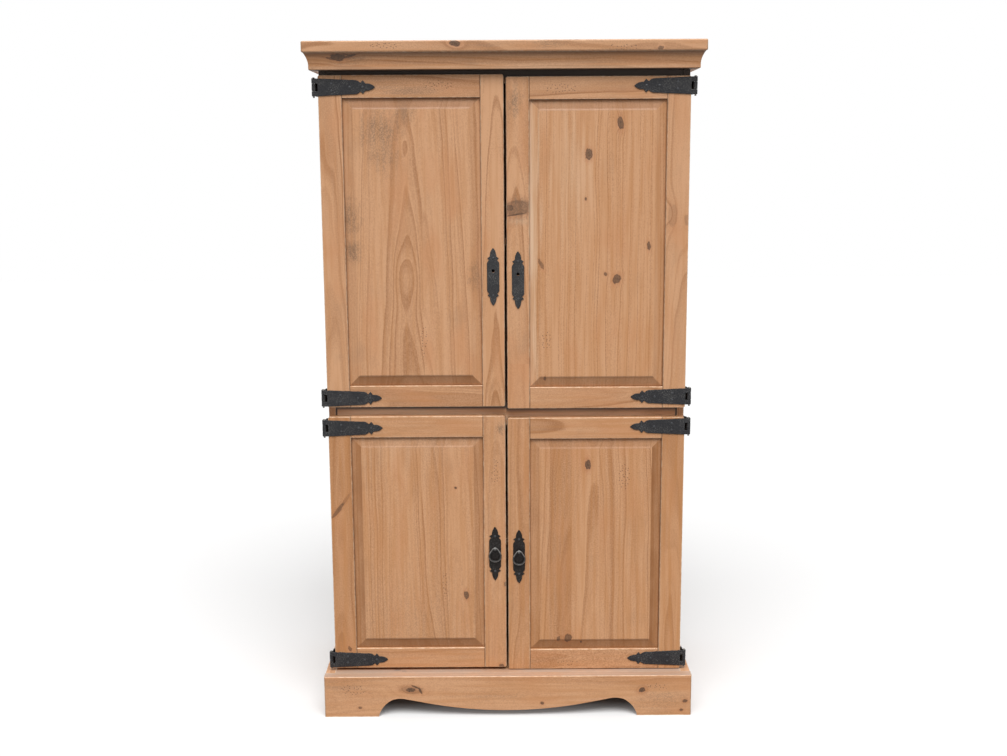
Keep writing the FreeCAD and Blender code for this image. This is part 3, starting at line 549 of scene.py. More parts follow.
def bare_wood(board, figure, tone, contrast, rough):
    """Colours the figure, and keeps how dark it is, its late wood, its fibre and its pores."""
    tree = board.tree
    streak = add(tree, "ShaderNodeMapRange", figure["Streak"], 0.3, 0.7, -0.5, 0.5)
    board.late = figure["Late"]
    board.fibre = fade(tree, figure["Fibre"], 0.3, 0.72, -0.5, 0.5)
    pores = stretched_noise(tree, board.place, pore_reach, board.seed, 4.0)
    board.pores = add(tree, "ShaderNodeMapRange", pores, 0.3, 0.7, -0.5, 0.5)
    dark = bare_wood_dark + tone
    if board.stave:
        dark = add(tree, "ShaderNodeMath", board.stave["Red"], dark - 0.5, operation="ADD")
    for part, weight in ((board.late, late_weight * contrast),
                         (figure["Band"], year_weight * contrast),
                         (streak, streak_weight * contrast),
                         (board.fibre, fibre_weight), (board.pores, rough)):
        dark = add(tree, "ShaderNodeMath", part, weight, dark, operation="MULTIPLY_ADD")
    dark.use_clamp = True
    board.dark = dark
    board.wood = tinted(tree, dark, linear(early_wood), late_wood)


print("wood runs from", early_wood, "to", late_wood)

# %% [markdown]
# ### Stain and wax
#
# A reddish stain took unevenly, in blotches longer than wide, and in time the wood greyed in
# clouds. Some places are smudged, most of all near knots and handles, and honey wax stayed in long
# veins between them. Other places are pale: rubbed by wear, and on the middle rail painted light. A
# smudge could be a plain oval, but its rim would show, so clouds of noise fray it and the pores
# speckle it.
# %% Stained, smudged, waxed and faded wood
red_stain = "#C5895D"
grey_stain = "#8E6F55"
honey_wax = "#B67B45"
pale_wear_and_highlight = "#E8CBAC"
blotch_reach = (60.0, 60.0, 170.0)
greying_reach = (70.0, 70.0, 120.0)
smudge_reach = (11.0, 11.0, 22.0)
vein_reach = (9.0, 9.0, 210.0)
greying_seed = 31.7
vein_seed = 17.3
red_below_joint = 0.35


def stain_and_wax(board, smudges, honey, pale_spots):
    """Covers the bare wood with red blotches, grey clouds, smudges, honey veins and pale spots,
    which are wear and, on the middle rail, painted light.
    """
    tree, place, seed = board.tree, board.place, board.seed
    board.blotch = stretched_noise(tree, place, blotch_reach, seed, 3.0)
    cover(board, fade(tree, board.blotch, 0.48, 0.72, 0.0, 0.5), red_stain)
    board.greying = stretched_noise(tree, place, greying_reach, seed + greying_seed, 4.0)
    grey = fade(tree, board.greying, 0.55, 0.8, 0.0, 0.3)
    if smudges:
        clouds = stretched_noise(tree, place, smudge_reach, seed, 4.0)
        specks = fade(tree, board.pores, -0.3, 0.3, 0.4, 1.25)
    for across, along, half_across, half_along, strength in smudges:
        off = within(tree, place, across, along, half_across, half_along)
        off = add(tree, "ShaderNodeMath", clouds, 1.6, off, operation="MULTIPLY_ADD")
        spot = fade(tree, off, 0.8, 2.1, strength, 0.0)
        spot = add(tree, "ShaderNodeMath", spot, specks, operation="MULTIPLY", use_clamp=True)
        grey = add(tree, "ShaderNodeMath", grey, spot, operation="MAXIMUM")
    cover(board, grey, grey_stain)
    veins = stretched_noise(tree, place, vein_reach, seed + vein_seed, 3.0)
    golden = fade(tree, veins, 0.38, 0.66, honey - 0.12, honey + 0.28)
    cover(board, add(tree, "ShaderNodeMath", golden, 0.0, operation="MAXIMUM"), honey_wax)
    if board.below_joint:
        redder = add(tree, "ShaderNodeMath", board.below_joint, red_below_joint,
                     operation="MULTIPLY")
        cover(board, redder, red_stain)
    for across, along, half_across, half_along, strength in pale_spots:
        off = within(tree, place, across, along, half_across, half_along)
        off = add(tree, "ShaderNodeMath", veins, 2.2, off, operation="MULTIPLY_ADD")
        cover(board, fade(tree, off, 1.0, 2.3, strength, 0.0), pale_wear_and_highlight)


print("blotches are", blotch_reach[2], "mm long, veins", vein_reach[2], "mm")

# %% [markdown]
# ### End grain and sloping edges
#
# End grain drinks more stain, and the slope at the top and bottom of a raised panel is half end
# grain. The slopes are also painted darker as shade, unevenly, most on those that face away from
# the light, and less towards the rim. The four slopes are told apart by which edge of the panel is
# nearest.
# %% Darker end grain and bevels
end_stain = "#8A6446"
bevel_painted_shade = "#875427"
speckle_reach = (2.2, 2.2, 4.0)
bevel_width = 25.5
bevel_rim = 0.8


def darken_ends(board):
    """End grain drinks more stain, also where a bevel cuts across the fibres."""
    tree = board.tree
    along = tuple(1.0 if letter == board.axes[2] else 0.0 for letter in "XYZ")
    facing = add(tree, "ShaderNodeVectorMath", board.normal, along, operation="DOT_PRODUCT")
    facing = add(tree, "ShaderNodeMath", facing.outputs["Value"], operation="ABSOLUTE")
    soaked = fade(tree, facing, 0.05, 0.2, 0.0, 0.42)
    speckle = stretched_noise(tree, board.place, speckle_reach, board.seed, 3.0)
    speckle = fade(tree, speckle, 0.35, 0.65, 0.75, 1.25)
    cover(board, add(tree, "ShaderNodeMath", soaked, speckle, operation="MULTIPLY",
                     use_clamp=True), end_stain)


def shade_bevels(board, inset, strengths):
    """Painted shade on a panel's slopes: at its low, high, start and end edge, each by its
    strength.
    """
    tree, gaps = board.tree, []
    for letter, side in (("X", board.size[0]), ("Z", board.size[2])):
        spot = board.axis[letter]
        gaps.append(add(tree, "ShaderNodeMath", spot, inset, operation="SUBTRACT"))
        gaps.append(add(tree, "ShaderNodeMath", side - inset, spot, operation="SUBTRACT"))
    nearest = gaps[0]
    for gap in gaps[1:]:
        nearest = add(tree, "ShaderNodeMath", nearest, gap, operation="MINIMUM")
    # The painted shade is darker near the field and lighter towards the rim.
    deeper = add(tree, "ShaderNodeMapRange", nearest, 0.0, bevel_width, 0.65, 1.25)
    uneven = fade(tree, board.blotch, 0.35, 0.65, 0.75, 1.25)
    deeper = add(tree, "ShaderNodeMath", deeper, uneven, operation="MULTIPLY")
    for gap, strength in zip(gaps, strengths):
        own = add(tree, "ShaderNodeMath", gap, nearest, operation="SUBTRACT")
        own = add(tree, "ShaderNodeMath", own, 0.01, operation="LESS_THAN")
        shade = fade(tree, gap, bevel_width - bevel_rim, bevel_width + bevel_rim, strength, 0.0)
        shade = add(tree, "ShaderNodeMath", own, shade, operation="MULTIPLY")
        cover(board, add(tree, "ShaderNodeMath", shade, deeper, operation="MULTIPLY",
                         use_clamp=True), bevel_painted_shade)


print("a bevel is", bevel_width, "mm wide")

# %% [markdown]
# ### Knots and worm holes
#
# The knots' places are known by now, so their halo, heart and bark only need their colours.
# Old worm holes were pricked into the new wood with an awl, in loose clusters. Cells with one
# point each, a Voronoi pattern, spread them about as far apart as a hand does.
# %% Colours of knots, and holes pricked in clusters
knot_wood = "#503926"
knot_bark = "#251A14"
knot_halo = "#A9683F"
dark_wax = "#4C2F1B"
halo_strength = 0.36
worm_pitch = 8.5
worm_radius = 1.15
worm_dark = 0.72


def colour_knots(board):
    """Colours the halo, the heart and the bark of the knots."""
    tree = board.tree
    cover(board, add(tree, "ShaderNodeMath", board.found["Halo"], halo_strength,
                     operation="MULTIPLY"), knot_halo)
    heartwood = add(tree, "ShaderNodeMapRange", board.pores, -0.5, 0.5, 0.75, 1.1)
    cover(board, add(tree, "ShaderNodeMath", board.found["Core"], heartwood,
                     operation="MULTIPLY", use_clamp=True), knot_wood)
    cover(board, board.found["Rim"], knot_bark)


def prick_worms(board, worms):
    """Fills small holes inside these ovals with wax, and keeps where they are."""
    tree, board.pricked = board.tree, 0.0
    if not worms:
        return
    grid = add(tree, "ShaderNodeCombineXYZ", board.axis["X"], board.axis["Z"], 0.0)
    cells = add(tree, "ShaderNodeTexVoronoi", grid, 1 / worm_pitch,
                named={"Randomness": 0.75}, voronoi_dimensions="2D")
    hole = fade(tree, cells.outputs["Distance"], worm_radius * 0.6 / worm_pitch,
                worm_radius * 1.6 / worm_pitch)
    for spot in worms:
        there = add(tree, "ShaderNodeMath", within(tree, board.place, *spot), 1.0,
                    operation="LESS_THAN")
        one = add(tree, "ShaderNodeMath", hole, there, operation="MULTIPLY")
        board.pricked = add(tree, "ShaderNodeMath", board.pricked, one, operation="MAXIMUM")
    cover(board, add(tree, "ShaderNodeMath", board.pricked, worm_dark, operation="MULTIPLY"),
          dark_wax)


print("worm holes are", 2 * worm_radius, "mm wide, about", worm_pitch, "mm apart")

# %% [markdown]
# ### Rubbed arrises with painted highlight, and waxed joints
#
# Hands and cloths rub the arrises pale, and the same pale band is painted highlight for the light
# that rounded arrises catch; dark wax stays where two boards meet. A bevel shader could find the
# arrises, but it is slow and can't be baked well. On a straight board the distance to an arris
# follows from its size: it is the second nearest pair of faces.
# %% Arrises and edges
arris_width = 2.6
rubbing_reach = (14.0, 14.0, 14.0)
wax_patch_reach = (30.0, 30.0, 40.0)
wax_full = 0.7
wax_clear = 2.8
board_edges = {"low": ("X", False), "high": ("X", True), "start": ("Z", False),
               "end": ("Z", True)}


def rub_and_light_arrises(board):
    """Rubs the arrises pale in places, as wear and as painted highlight."""
    tree, gaps = board.tree, []
    for letter, side in zip("XYZ", board.size):
        middle = add(tree, "ShaderNodeMath", board.axis[letter], side / 2, operation="SUBTRACT")
        middle = add(tree, "ShaderNodeMath", middle, operation="ABSOLUTE")
        gaps.append(add(tree, "ShaderNodeMath", side / 2, middle, operation="SUBTRACT"))
    first = add(tree, "ShaderNodeMath", gaps[0], gaps[1], operation="MINIMUM")
    larger = add(tree, "ShaderNodeMath", gaps[0], gaps[1], operation="MAXIMUM")
    second = add(tree, "ShaderNodeMath", larger, gaps[2], operation="MINIMUM")
    arris = add(tree, "ShaderNodeMath", first, second, operation="MAXIMUM")
    rubbing = stretched_noise(tree, board.place, rubbing_reach, board.seed, 3.0)
    rubbing = add(tree, "ShaderNodeMapRange", rubbing, 0.35, 0.65, 0.1, 1.0)
    rubbed = fade(tree, arris, arris_width * 0.4, arris_width, 0.85, 0.0)
    cover(board, add(tree, "ShaderNodeMath", rubbed, rubbing, operation="MULTIPLY"),
          pale_wear_and_highlight)


def wax_edges(board, inset, edges):
    """Dark wax along the edges that meet another board, each with its strength; on the doors'
    meeting edges it is painted shade for the gap between them.
    """
    tree = board.tree
    if edges:
        patchy = stretched_noise(tree, board.place, wax_patch_reach, board.seed, 3.0)
        patchy = add(tree, "ShaderNodeMapRange", patchy, 0.35, 0.6, 0.5, 1.0)
    for edge, strength in edges:
        letter, far = board_edges[edge]
        line = board.size["XYZ".index(letter)] - inset if far else inset
        away = add(tree, "ShaderNodeMath", board.axis[letter], line, operation="SUBTRACT")
        away = add(tree, "ShaderNodeMath", away, operation="ABSOLUTE")
        wax = fade(tree, away, wax_full, wax_clear, strength, 0.0)
        cover(board, add(tree, "ShaderNodeMath", wax, patchy, operation="MULTIPLY"), dark_wax)


print("arrises are rubbed", arris_width, "mm wide")

# %% [markdown]
# ### Painted shade and dust
#
# The gaps between the doors and the body are painted near black as shade, in straight bands along a
# rail, and whatever faces down under the cornice is painted dark as shade too. Dust settled on what
# faces up, but only outside the closed doors.
# %% Gaps painted dark with shade
gap_painted_shade = "#1E130C"
settled_dust = "#AB998C"
painted_shade_strength = 0.95
dust_reach = 12 * MM


def paint_gap_shade(board, gap_shade, shade_under):
    """Painted shade in bands: full and clear are across the board, start and end along it."""
    tree = board.tree
    board.up = add(tree, "ShaderNodeVectorMath", board.normal, (0, 0, 1),
                   operation="DOT_PRODUCT").outputs["Value"]
    for full, clear, start, end in gap_shade:
        black = fade(tree, board.axis["X"], full, clear, painted_shade_strength, 0.0)
        there = add(tree, "ShaderNodeMath", board.axis["Z"], (start + end) / 2,
                    (end - start) / 2, operation="COMPARE")
        cover(board, add(tree, "ShaderNodeMath", black, there, operation="MULTIPLY"), gap_painted_shade)
    # Faces that turn down are painted dark as shade.
    if shade_under:
        cover(board, fade(tree, board.up, -0.7, -0.3, shade_under, 0.0), gap_painted_shade)


def settle_dust(board, dust):
    """Dust on what faces up, from the front of the doors outwards."""
    tree = board.tree
    settled = fade(tree, board.up, 0.6, 0.9, 0.0, dust)
    settled = add(tree, "ShaderNodeMath", settled, fade(tree, board.greying, 0.3, 0.6, 0.6, 1.0),
                  operation="MULTIPLY")
    depth = add(tree, "ShaderNodeSeparateXYZ",
                add(tree, "ShaderNodeTexCoord").outputs["Object"]).outputs["Y"]
    cover(board, add(tree, "ShaderNodeMath", settled,
                     fade(tree, depth, door_front, door_front + dust_reach),
                     operation="MULTIPLY"), settled_dust)


print("dust ends", dust_reach / MM, "mm behind the front of the doors")

# %% [markdown]
# ### All layers together
#
# A row of values describes one board, in millimetres across and along it:
#
# - `heart`: where the tree's heart lay, as a share of the width, and how deep; `lean`: how far
#   it tips for each millimetre along; `ring`: how wide a year is
# - `tone`: darker above zero; `contrast`: of the rings; `rough`: of the pores; `honey`, `dust`:
#   how much lies on the wood; `joint`: how high a finger joint is, below which the wood changes
# - `knots`: across, along, radius, how much longer than wide, turn, darkness, pull on the rings
# - `worms`: across, along, half width, half length; `smudges`, `pale_spots`: the same and a
#   strength
# - `staves`: where each starts, as a share of the width, its tone and where its heart lay
# - `gap_shade`: painted shade, from full to clear across the board, from start to end along it
# - `grimy`: strengths of dark wax at the board's edges, which at the meeting edges of the doors is
#   painted shade; `bevels`: strengths of painted shade on a panel's slopes; `inset`: how far these
#   lie inwards
#
# Wax fills the grain, so the shine is soft and even, and the relief is a quarter millimetre.
# %% The material of one board
grain_relief = 0.25 * MM
pine_ior = 1.5


def pine_board(name, axes="XYZ", seed=0.0, heart=(0.5, 60.0), lean=0.02, ring=6.0, tone=0.0,
               knots=(), worms=(), smudges=(), pale_spots=(), staves=(), joint=0.0, grimy=(),
               inset=0.0, contrast=1.0, bevels=None, gap_shade=(), shade_under=0.0, dust=0.0,
               honey=0.0, rough=0.55):
    """The waxed and distressed pine of one board."""
    board = new_board(name, axes, seed)
    tree = board.tree
    figure = board_figure(board, heart, lean, ring, staves, joint, knots)
    bare_wood(board, figure, tone, contrast, rough)
    stain_and_wax(board, smudges, honey, pale_spots)
    darken_ends(board)
    if bevels:
        shade_bevels(board, inset, bevels)
    colour_knots(board)
    prick_worms(board, worms)
    rub_and_light_arrises(board)
    wax_edges(board, inset, grimy)
    paint_gap_shade(board, gap_shade, shade_under)
    if dust:
        settle_dust(board, dust)

    height = add(tree, "ShaderNodeMath", board.fibre, 0.5, board.late, operation="MULTIPLY_ADD")
    height = add(tree, "ShaderNodeMath", board.pricked, -4.0, height, operation="MULTIPLY_ADD")
    height = add(tree, "ShaderNodeMath", board.found["Rim"], -2.0, height,
                 operation="MULTIPLY_ADD")
    relief = add(tree, "ShaderNodeBump", 0.5, grain_relief, named={"Height": height})
    gloss = add(tree, "ShaderNodeMapRange", board.dark, 0.0, 1.0, 0.5, 0.6)
    show(tree, add(tree, "ShaderNodeBsdfPrincipled", named={
        "Base Color": board.wood, "Roughness": gloss, "Normal": relief, "IOR": pine_ior}))
    return board.material


def dress(node, material):
    """Give a solid its material."""
    mesh = frame["nodes"][node].data
    mesh.materials.clear()
    mesh.materials.append(material)


print("pine_board is ready")

# %% [markdown]
# ## The boards of the body
#
# Rails, mouldings and the plinth run their grain sideways, the sides and the back upright.
# Only a few have knots; those in front are where the real cupboard has them. The rails and the
# front edges of the sides are painted black as shade where they show in a gap above the doors or
# between them, and the cornice's underside is painted dark as shade.
# %% Body boards
rail_half = (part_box("middle_rail")[1].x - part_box("middle_rail")[0].x) / 2 / MM
joint_line = 3
door_top = (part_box("upper_left_top_rail")[1].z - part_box("left_side")[0].z) / MM
gap_above_doors = (door_top - 4, door_top + 30)
whole_board = 2000
body_boards = {
    "crown_slab": dict(
        axes="ZYX", seed=3.1, heart=(0.4, 90.0), ring=8.0, tone=-0.2,
        knots=[(20, 387, 6, 2.0, 8, 1.0, 1.5), (6, 903, 4, 1.6, 0, 0.8, 1.5)],
        worms=[(14, 207, 9, 43), (9, 809, 7, 46)],
        smudges=[(14, 511, 60, 700, 0.2), (16, 620, 14, 60, 0.7), (14, 470, 12, 50, 0.5)]),
    # Under the cornice, what faces down is painted dark as shade.
    "cornice_front": dict(
        axes="ZYX", seed=5.7, heart=(-0.4, 70.0), ring=9.0, tone=0.16, shade_under=0.85, honey=0.12,
        pale_spots=[(4, 507, 11, 640, 0.22)],
        knots=[(31, 88, 7, 2.2, 4, 1.0, 1.5), (34, 118, 2.4, 6.0, -14, 0.9, 1.2),
               (28, 70, 2.2, 5.0, 12, 0.8, 1.2), (37, 112, 1.6, 7.0, 10, 0.7, 1.0)],
        smudges=[(30, 105, 18, 60, 0.8)]),
    "cornice_left": dict(axes="ZXY", seed=7.3, heart=(-0.4, 70.0), ring=9.0, tone=0.1),
    "cornice_right": dict(axes="ZXY", seed=8.9, heart=(-0.4, 70.0), ring=9.0, tone=0.1),
    # The packer and the top rail show in the gap above the doors: their dark tone and their bands
    # are painted shade.
    "cornice_packer": dict(
        axes="ZYX", seed=33.8, ring=8.0, tone=0.5, gap_shade=[(0, -1, 0, whole_board)]),
    "top_rail": dict(axes="ZYX", seed=30.9, ring=8.0, tone=0.2, gap_shade=[(17, 10, 0, whole_board)]),
    # The middle rail shows between the doors: its light tone and pale spots are painted light, its
    # bands under the upper doors painted shade, and the bands at its two ends dark lines where it
    # meets the sides.
    "middle_rail": dict(
        axes="ZYX", seed=32.3, ring=8.0, tone=-0.5, smudges=[(30, 230, 30, 160, 0.3)],
        pale_spots=[(24, 240, 44, 260, 0.85), (24, 700, 44, 260, 0.45)],
        gap_shade=[(49, 39, 0, rail_half), (46, 30, rail_half, 2 * rail_half),
              (0, -1, 0, joint_line),
              (0, -1, 2 * rail_half - joint_line, 2 * rail_half)]),
    "plinth_front": dict(
        axes="ZYX", seed=11.4, heart=(0.45, 110.0), lean=0.01, ring=11.0, dust=0.62, honey=0.1,
        knots=[(77, 238, 9, 3.0, 2, 0.3, 2.0), (77.5, 237, 4.8, 2.1, 2, 1.0, 0.6),
               (86, 250, 1.9, 5.0, 24, 1.0, 0.3), (75, 263, 2.6, 3.4, 64, 1.0, 0.4),
               (74, 871, 5.5, 1.4, -14, 1.0, 2.6),
               (37, 597, 3.5, 1.3, 20, 0.9, 2.0), (41, 989, 4, 1.4, 0, 0.9, 2.0),
               (15, 979, 3, 1.3, 0, 0.9, 2.0), (26, 97, 3, 1.4, 0, 0.8, 2.0)],
        worms=[(79, 80, 15, 34), (84, 914, 10, 33)],
        smudges=[(88, 60, 30, 80, 0.35), (40, 930, 40, 90, 0.35), (60, 480, 20, 120, 0.25)]),
    "plinth_left": dict(axes="ZXY", seed=13.2, heart=(0.5, 90.0), ring=10.0,
                        knots=[(60, 180, 6, 1.7, 5, 1.0, 2.2)]),
    "plinth_right": dict(axes="ZXY", seed=14.8, heart=(0.5, 90.0), ring=10.0,
                         knots=[(70, 310, 5, 1.7, 5, 1.0, 2.2)]),
    "plinth_back": dict(axes="ZYX", seed=16.5, ring=9.0, tone=0.1),
    "bottom_deck": dict(axes="YZX", seed=17.9, heart=(0.3, 80.0), ring=9.0, tone=-0.1, dust=0.75,
                        knots=[(18, 171, 4, 2.0, 0, 1.0, 1.5), (10, 190, 3, 2.0, 0, 0.9, 1.5)]),
}
for name, seed in (("middle_deck", 19.1), ("carcass_top", 20.3), ("upper_shelf", 21.7),
                   ("lower_shelf", 22.9)):
    body_boards[name] = dict(axes="YZX", seed=seed, heart=(0.4, 120.0), ring=8.0,
                             knots=[(150, 260 + 17 * seed, 7, 1.5, 10, 1.0, 2.0)])
# The sides' front edges are painted dark as shade where they show in the gap above the doors.
for name, seed in (("left_side", 24.2), ("right_side", 26.8)):
    body_boards[name] = dict(
        axes="YXZ", seed=seed, heart=(0.5, 120.0), lean=0.03, ring=7.0,
        gap_shade=[(1.5, 5.0, *gap_above_doors)],
        knots=[(150, 1250 - 12 * seed, 9, 1.6, 8, 1.0, 2.0),
               (330, 620 + 9 * seed, 7, 1.5, -8, 1.0, 2.0),
               (90, 430, 5, 1.4, 0, 1.0, 2.0), (400, 1420, 6, 1.5, 0, 1.0, 2.0)],
        staves=[(0.0, 0.5, 0.5), (0.27, 0.58, 0.3), (0.55, 0.44, 0.66), (0.8, 0.54, 0.45)])
back_board_count = 7
body_boards["back_boards"] = dict(
    seed=28.1, heart=(0.5, 60.0), ring=7.0, tone=0.1,
    staves=[(i / back_board_count, 0.42 + 0.16 * ((i * 3) % 5) / 4,
             0.35 + 0.3 * ((i * 2) % 7) / 6) for i in range(back_board_count)],
    knots=[(120, 300, 7, 1.5, 0, 1.0, 2.0), (470, 1100, 8, 1.5, 0, 1.0, 2.0),
           (760, 700, 6, 1.5, 0, 1.0, 2.0), (330, 1500, 6, 1.5, 0, 1.0, 2.0)])
for name, board in body_boards.items():
    dress(name, pine_board(name, **board))
print(len(body_boards), "body boards dressed")

# %% [markdown]
# ## The boards of the doors
#
# Each door is a frame of two stiles and two rails round a raised panel. The panel is glued up from
# narrow staves, which show as upright bands of slightly different colour. The sloping edges of the
# panel are painted darker than its field as shade, and dark wax stayed along the joints. The edges
# where two doors meet are painted dark as the shade in the gap between them. Every board has its
# own row, so that any of them can be changed alone; a loop then works out where its joints lie and
# makes its material.
# %% Boards of the upper doors
door_boards = {
    "upper_left_hinge_stile": dict(seed=41.0, heart=(0.2, 55.0), ring=6.0, tone=-0.03,
                                   contrast=1.5),
    "upper_left_meeting_stile": dict(seed=42.3, heart=(0.6, 40.0), lean=0.03, ring=9.0,
                                     tone=-0.19, contrast=1.3),
    # Its darker tone is partly painted shadow from the cornice.
    "upper_left_top_rail": dict(seed=43.9, heart=(0.2, 60.0), ring=10.0, tone=0.14, rough=0.7,
                                worms=[(31, 277, 12, 38)],
                                smudges=[(16, 200, 14, 90, 0.6), (30, 130, 20, 80, 0.4)]),
    "upper_left_bottom_rail": dict(seed=45.2, heart=(0.3, 50.0), ring=9.0, tone=0.12),
    "upper_left_panel": dict(
        seed=46.6, heart=(0.45, 48.0), lean=0.05, ring=9.5, tone=-0.04, contrast=0.85, rough=0.5,
        bevels=(0.16, 0.1, 0.52, 0.34),
        knots=[(167, 294, 15, 2.1, 0, 0.0, -0.9), (171, 636, 8, 2.3, 0, 0.0, -0.9)],
        staves=[(0.0, 0.47, 0.5), (0.19, 0.5, 0.5), (0.56, 0.44, 0.56), (0.8, 0.52, 0.6)],
        worms=[(209, 128, 9, 44)],
        smudges=[(104, 672, 60, 64, 0.75), (112, 620, 44, 64, 0.6), (169, 722, 36, 36, 0.6),
                 (18, 452, 34, 60, 0.8), (26, 362, 26, 36, 1.0), (345, 297, 20, 44, 0.75)]),
    "upper_right_hinge_stile": dict(
        seed=48.0, heart=(0.9, 40.0), lean=0.04, ring=9.0, tone=-0.15,
        knots=[(18, 510, 11, 2.3, 0, 0.22, 1.2), (56, 497, 6, 2.0, 0, 0.3, 1.2)]),
    "upper_right_meeting_stile": dict(
        seed=49.4, heart=(0.5, 50.0), ring=8.0, tone=-0.16, joint=121.0,
        knots=[(28, 530, 38, 0.42, 6, 0.45, 0.0), (24, 513, 1.8, 11.0, -81, 0.9, 0.0),
               (9, 531, 6, 1.3, 80, 0.75, 0.0)],
        pale_spots=[(30, 496, 34, 11, 0.25)],
        smudges=[(28, 528, 60, 32, 1.0), (28, 503, 44, 18, 0.5), (24, 800, 24, 40, 0.8)]),
    "upper_right_top_rail": dict(seed=50.9, heart=(0.8, 70.0), ring=12.0, tone=0.02,
                                 worms=[(26, 112, 13, 42)]),
    "upper_right_bottom_rail": dict(seed=52.2, heart=(0.6, 60.0), ring=11.0, tone=0.0),
    "upper_right_panel": dict(
        seed=53.7, heart=(0.9, 34.0), lean=0.01, ring=7.0, tone=-0.22, rough=0.85, contrast=1.1,
        bevels=(0.0, 0.16, 0.3, 0.3), honey=0.2,
        pale_spots=[(120, 560, 66, 190, 0.2), (12, 420, 26, 460, 0.7)],
        knots=[(243, 696, 6.4, 2.3, 8, 0.9, 1.6), (162, 618, 7.6, 1.6, 0, 0.9, 1.6),
               (155, 504, 2.4, 1.5, 0, 0.9, 1.5), (320, 382, 4.0, 2.2, 8, 0.9, 1.6),
               (237, 296, 8, 1.35, -30, 0.9, 1.6), (208, 309, 3.5, 1.3, 40, 0.8, 1.5),
               (39, 336, 4, 3.0, 30, 0.6, 1.4), (49, 32, 3, 1.5, 0, 0.8, 1.5)],
        staves=[(0.0, 0.5, 0.5), (0.13, 0.46, 0.42), (0.38, 0.47, 0.47), (0.62, 0.5, 0.55),
                (0.82, 0.53, 0.6)],
        worms=[(54, 136, 14, 27)]),
}
print(len(door_boards), "boards in the upper doors")

# %% [markdown]
# ### The lower doors
#
# The lower doors hold more honey wax than the upper ones, and their left hinge stile has the
# long slanting knot that shows where a branch was cut along its length.
# %% Boards of the lower doors
door_boards.update({
    "lower_left_hinge_stile": dict(
        seed=55.1, heart=(0.5, 45.0), ring=7.0, tone=0.34, honey=0.3, contrast=1.4, rough=0.7,
        knots=[(38, 476, 3.5, 8.0, -35, 0.25, 0.8), (20, 452, 4.5, 5.0, -37, 0.65, 0.3),
               (41, 56, 4, 1.6, 30, 0.7, 1.5)]),
    "lower_left_meeting_stile": dict(
        seed=56.4, heart=(0.7, 50.0), ring=8.0, tone=0.04, honey=0.12, worms=[(32, 557, 13, 38)],
        knots=[(59, 241, 4, 1.4, 0, 0.9, 1.2), (46, 3, 6, 1.0, 0, 0.8, 1.2)],
        smudges=[(46, 676, 12, 20, 0.9)]),
    "lower_left_top_rail": dict(seed=57.8, heart=(0.4, 70.0), ring=13.0, tone=0.04, honey=0.12),
    "lower_left_bottom_rail": dict(seed=59.3, heart=(0.3, 60.0), ring=11.0, tone=0.14, honey=0.15),
    "lower_left_panel": dict(
        seed=60.7, heart=(0.5, 60.0), lean=0.03, ring=8.5, tone=0.04, contrast=0.85, rough=0.65,
        bevels=(0.46, 0.34, 0.56, 0.0), honey=0.16,
        knots=[(287, 464, 2.6, 1.2, 60, 1.0, 1.5), (313, 161, 5.5, 1.8, 12, 0.9, 2.4)],
        staves=[(0.0, 0.44, 0.5), (0.3, 0.47, 0.42), (0.52, 0.52, 0.5), (0.72, 0.4, 0.62)],
        worms=[(256, 190, 8, 40)],
        smudges=[(190, 40, 300, 200, 0.22)], pale_spots=[(150, 620, 200, 120, 0.12)]),
    "lower_right_hinge_stile": dict(seed=62.1, heart=(0.4, 50.0), ring=8.0, tone=0.12,
                                    honey=0.36),
    "lower_right_meeting_stile": dict(seed=63.6, heart=(0.8, 40.0), ring=8.0, tone=0.12,
                                      honey=0.2),
    "lower_right_top_rail": dict(seed=65.0, heart=(0.6, 50.0), ring=12.0, tone=0.04, honey=0.15),
    "lower_right_bottom_rail": dict(seed=66.4, heart=(0.5, 60.0), ring=11.0, tone=0.14, rough=1.0,
                                    worms=[(18, 131, 9, 31)]),
    "lower_right_panel": dict(
        seed=67.9, heart=(0.45, 60.0), lean=0.03, ring=9.5, tone=0.0, contrast=0.9, rough=0.85,
        bevels=(0.28, 0.62, 0.5, 0.1), honey=0.2,
        knots=[(165, 532, 6.5, 1.8, 0, 1.0, 2.0), (113, 41, 8, 1.3, -20, 0.8, 1.6),
               (87, 39, 4, 1.5, -10, 0.8, 1.5), (149, 29, 2.5, 1.3, 0, 0.9, 1.5)],
        staves=[(0.0, 0.52, 0.5), (0.165, 0.98, 0.44), (0.325, 0.4, 0.52), (0.52, 0.5, 0.47),
                (0.77, 0.45, 0.6)],
        worms=[(264, 497, 16, 36)]),
})
print(len(door_boards), "boards in all doors")

# %% [markdown]
# ### Joints of the doors
#
# Wax gathers where a rail meets a stile and where a panel dips into its groove. Those lines
# could be typed in for each door, but the boxes of the stiles already say where they are.
# %% Door boards with their joints
def opening_between_stiles(door):
    """Where the left stile of a door ends and the right one starts."""
    left, right = sorted((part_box(door + "_hinge_stile"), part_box(door + "_meeting_stile")),
                         key=lambda corners: corners[0].x)
    return left[1].x, right[0].x


def panel_inset(panel):
    """How deep the panel's tongue runs in the grooves, in millimetres."""
    left, right = opening_between_stiles(panel.removesuffix("_panel"))
    low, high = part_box(panel)
    return ((high.x - low.x) - (right - left)) / 2 / MM


def rail_tenon(rail):
    """How far the rail's tenons run into the stiles, in millimetres."""
    left, _ = opening_between_stiles(rail.rsplit("_", 2)[0])
    return (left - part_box(rail)[0].x) / MM


panel_finish = {}
rail_wax = (("start", 0.6), ("end", 0.6))
panel_wax = (("low", 0.45), ("high", 0.45), ("start", 0.7), ("end", 1.0))
stile_wax = 0.45
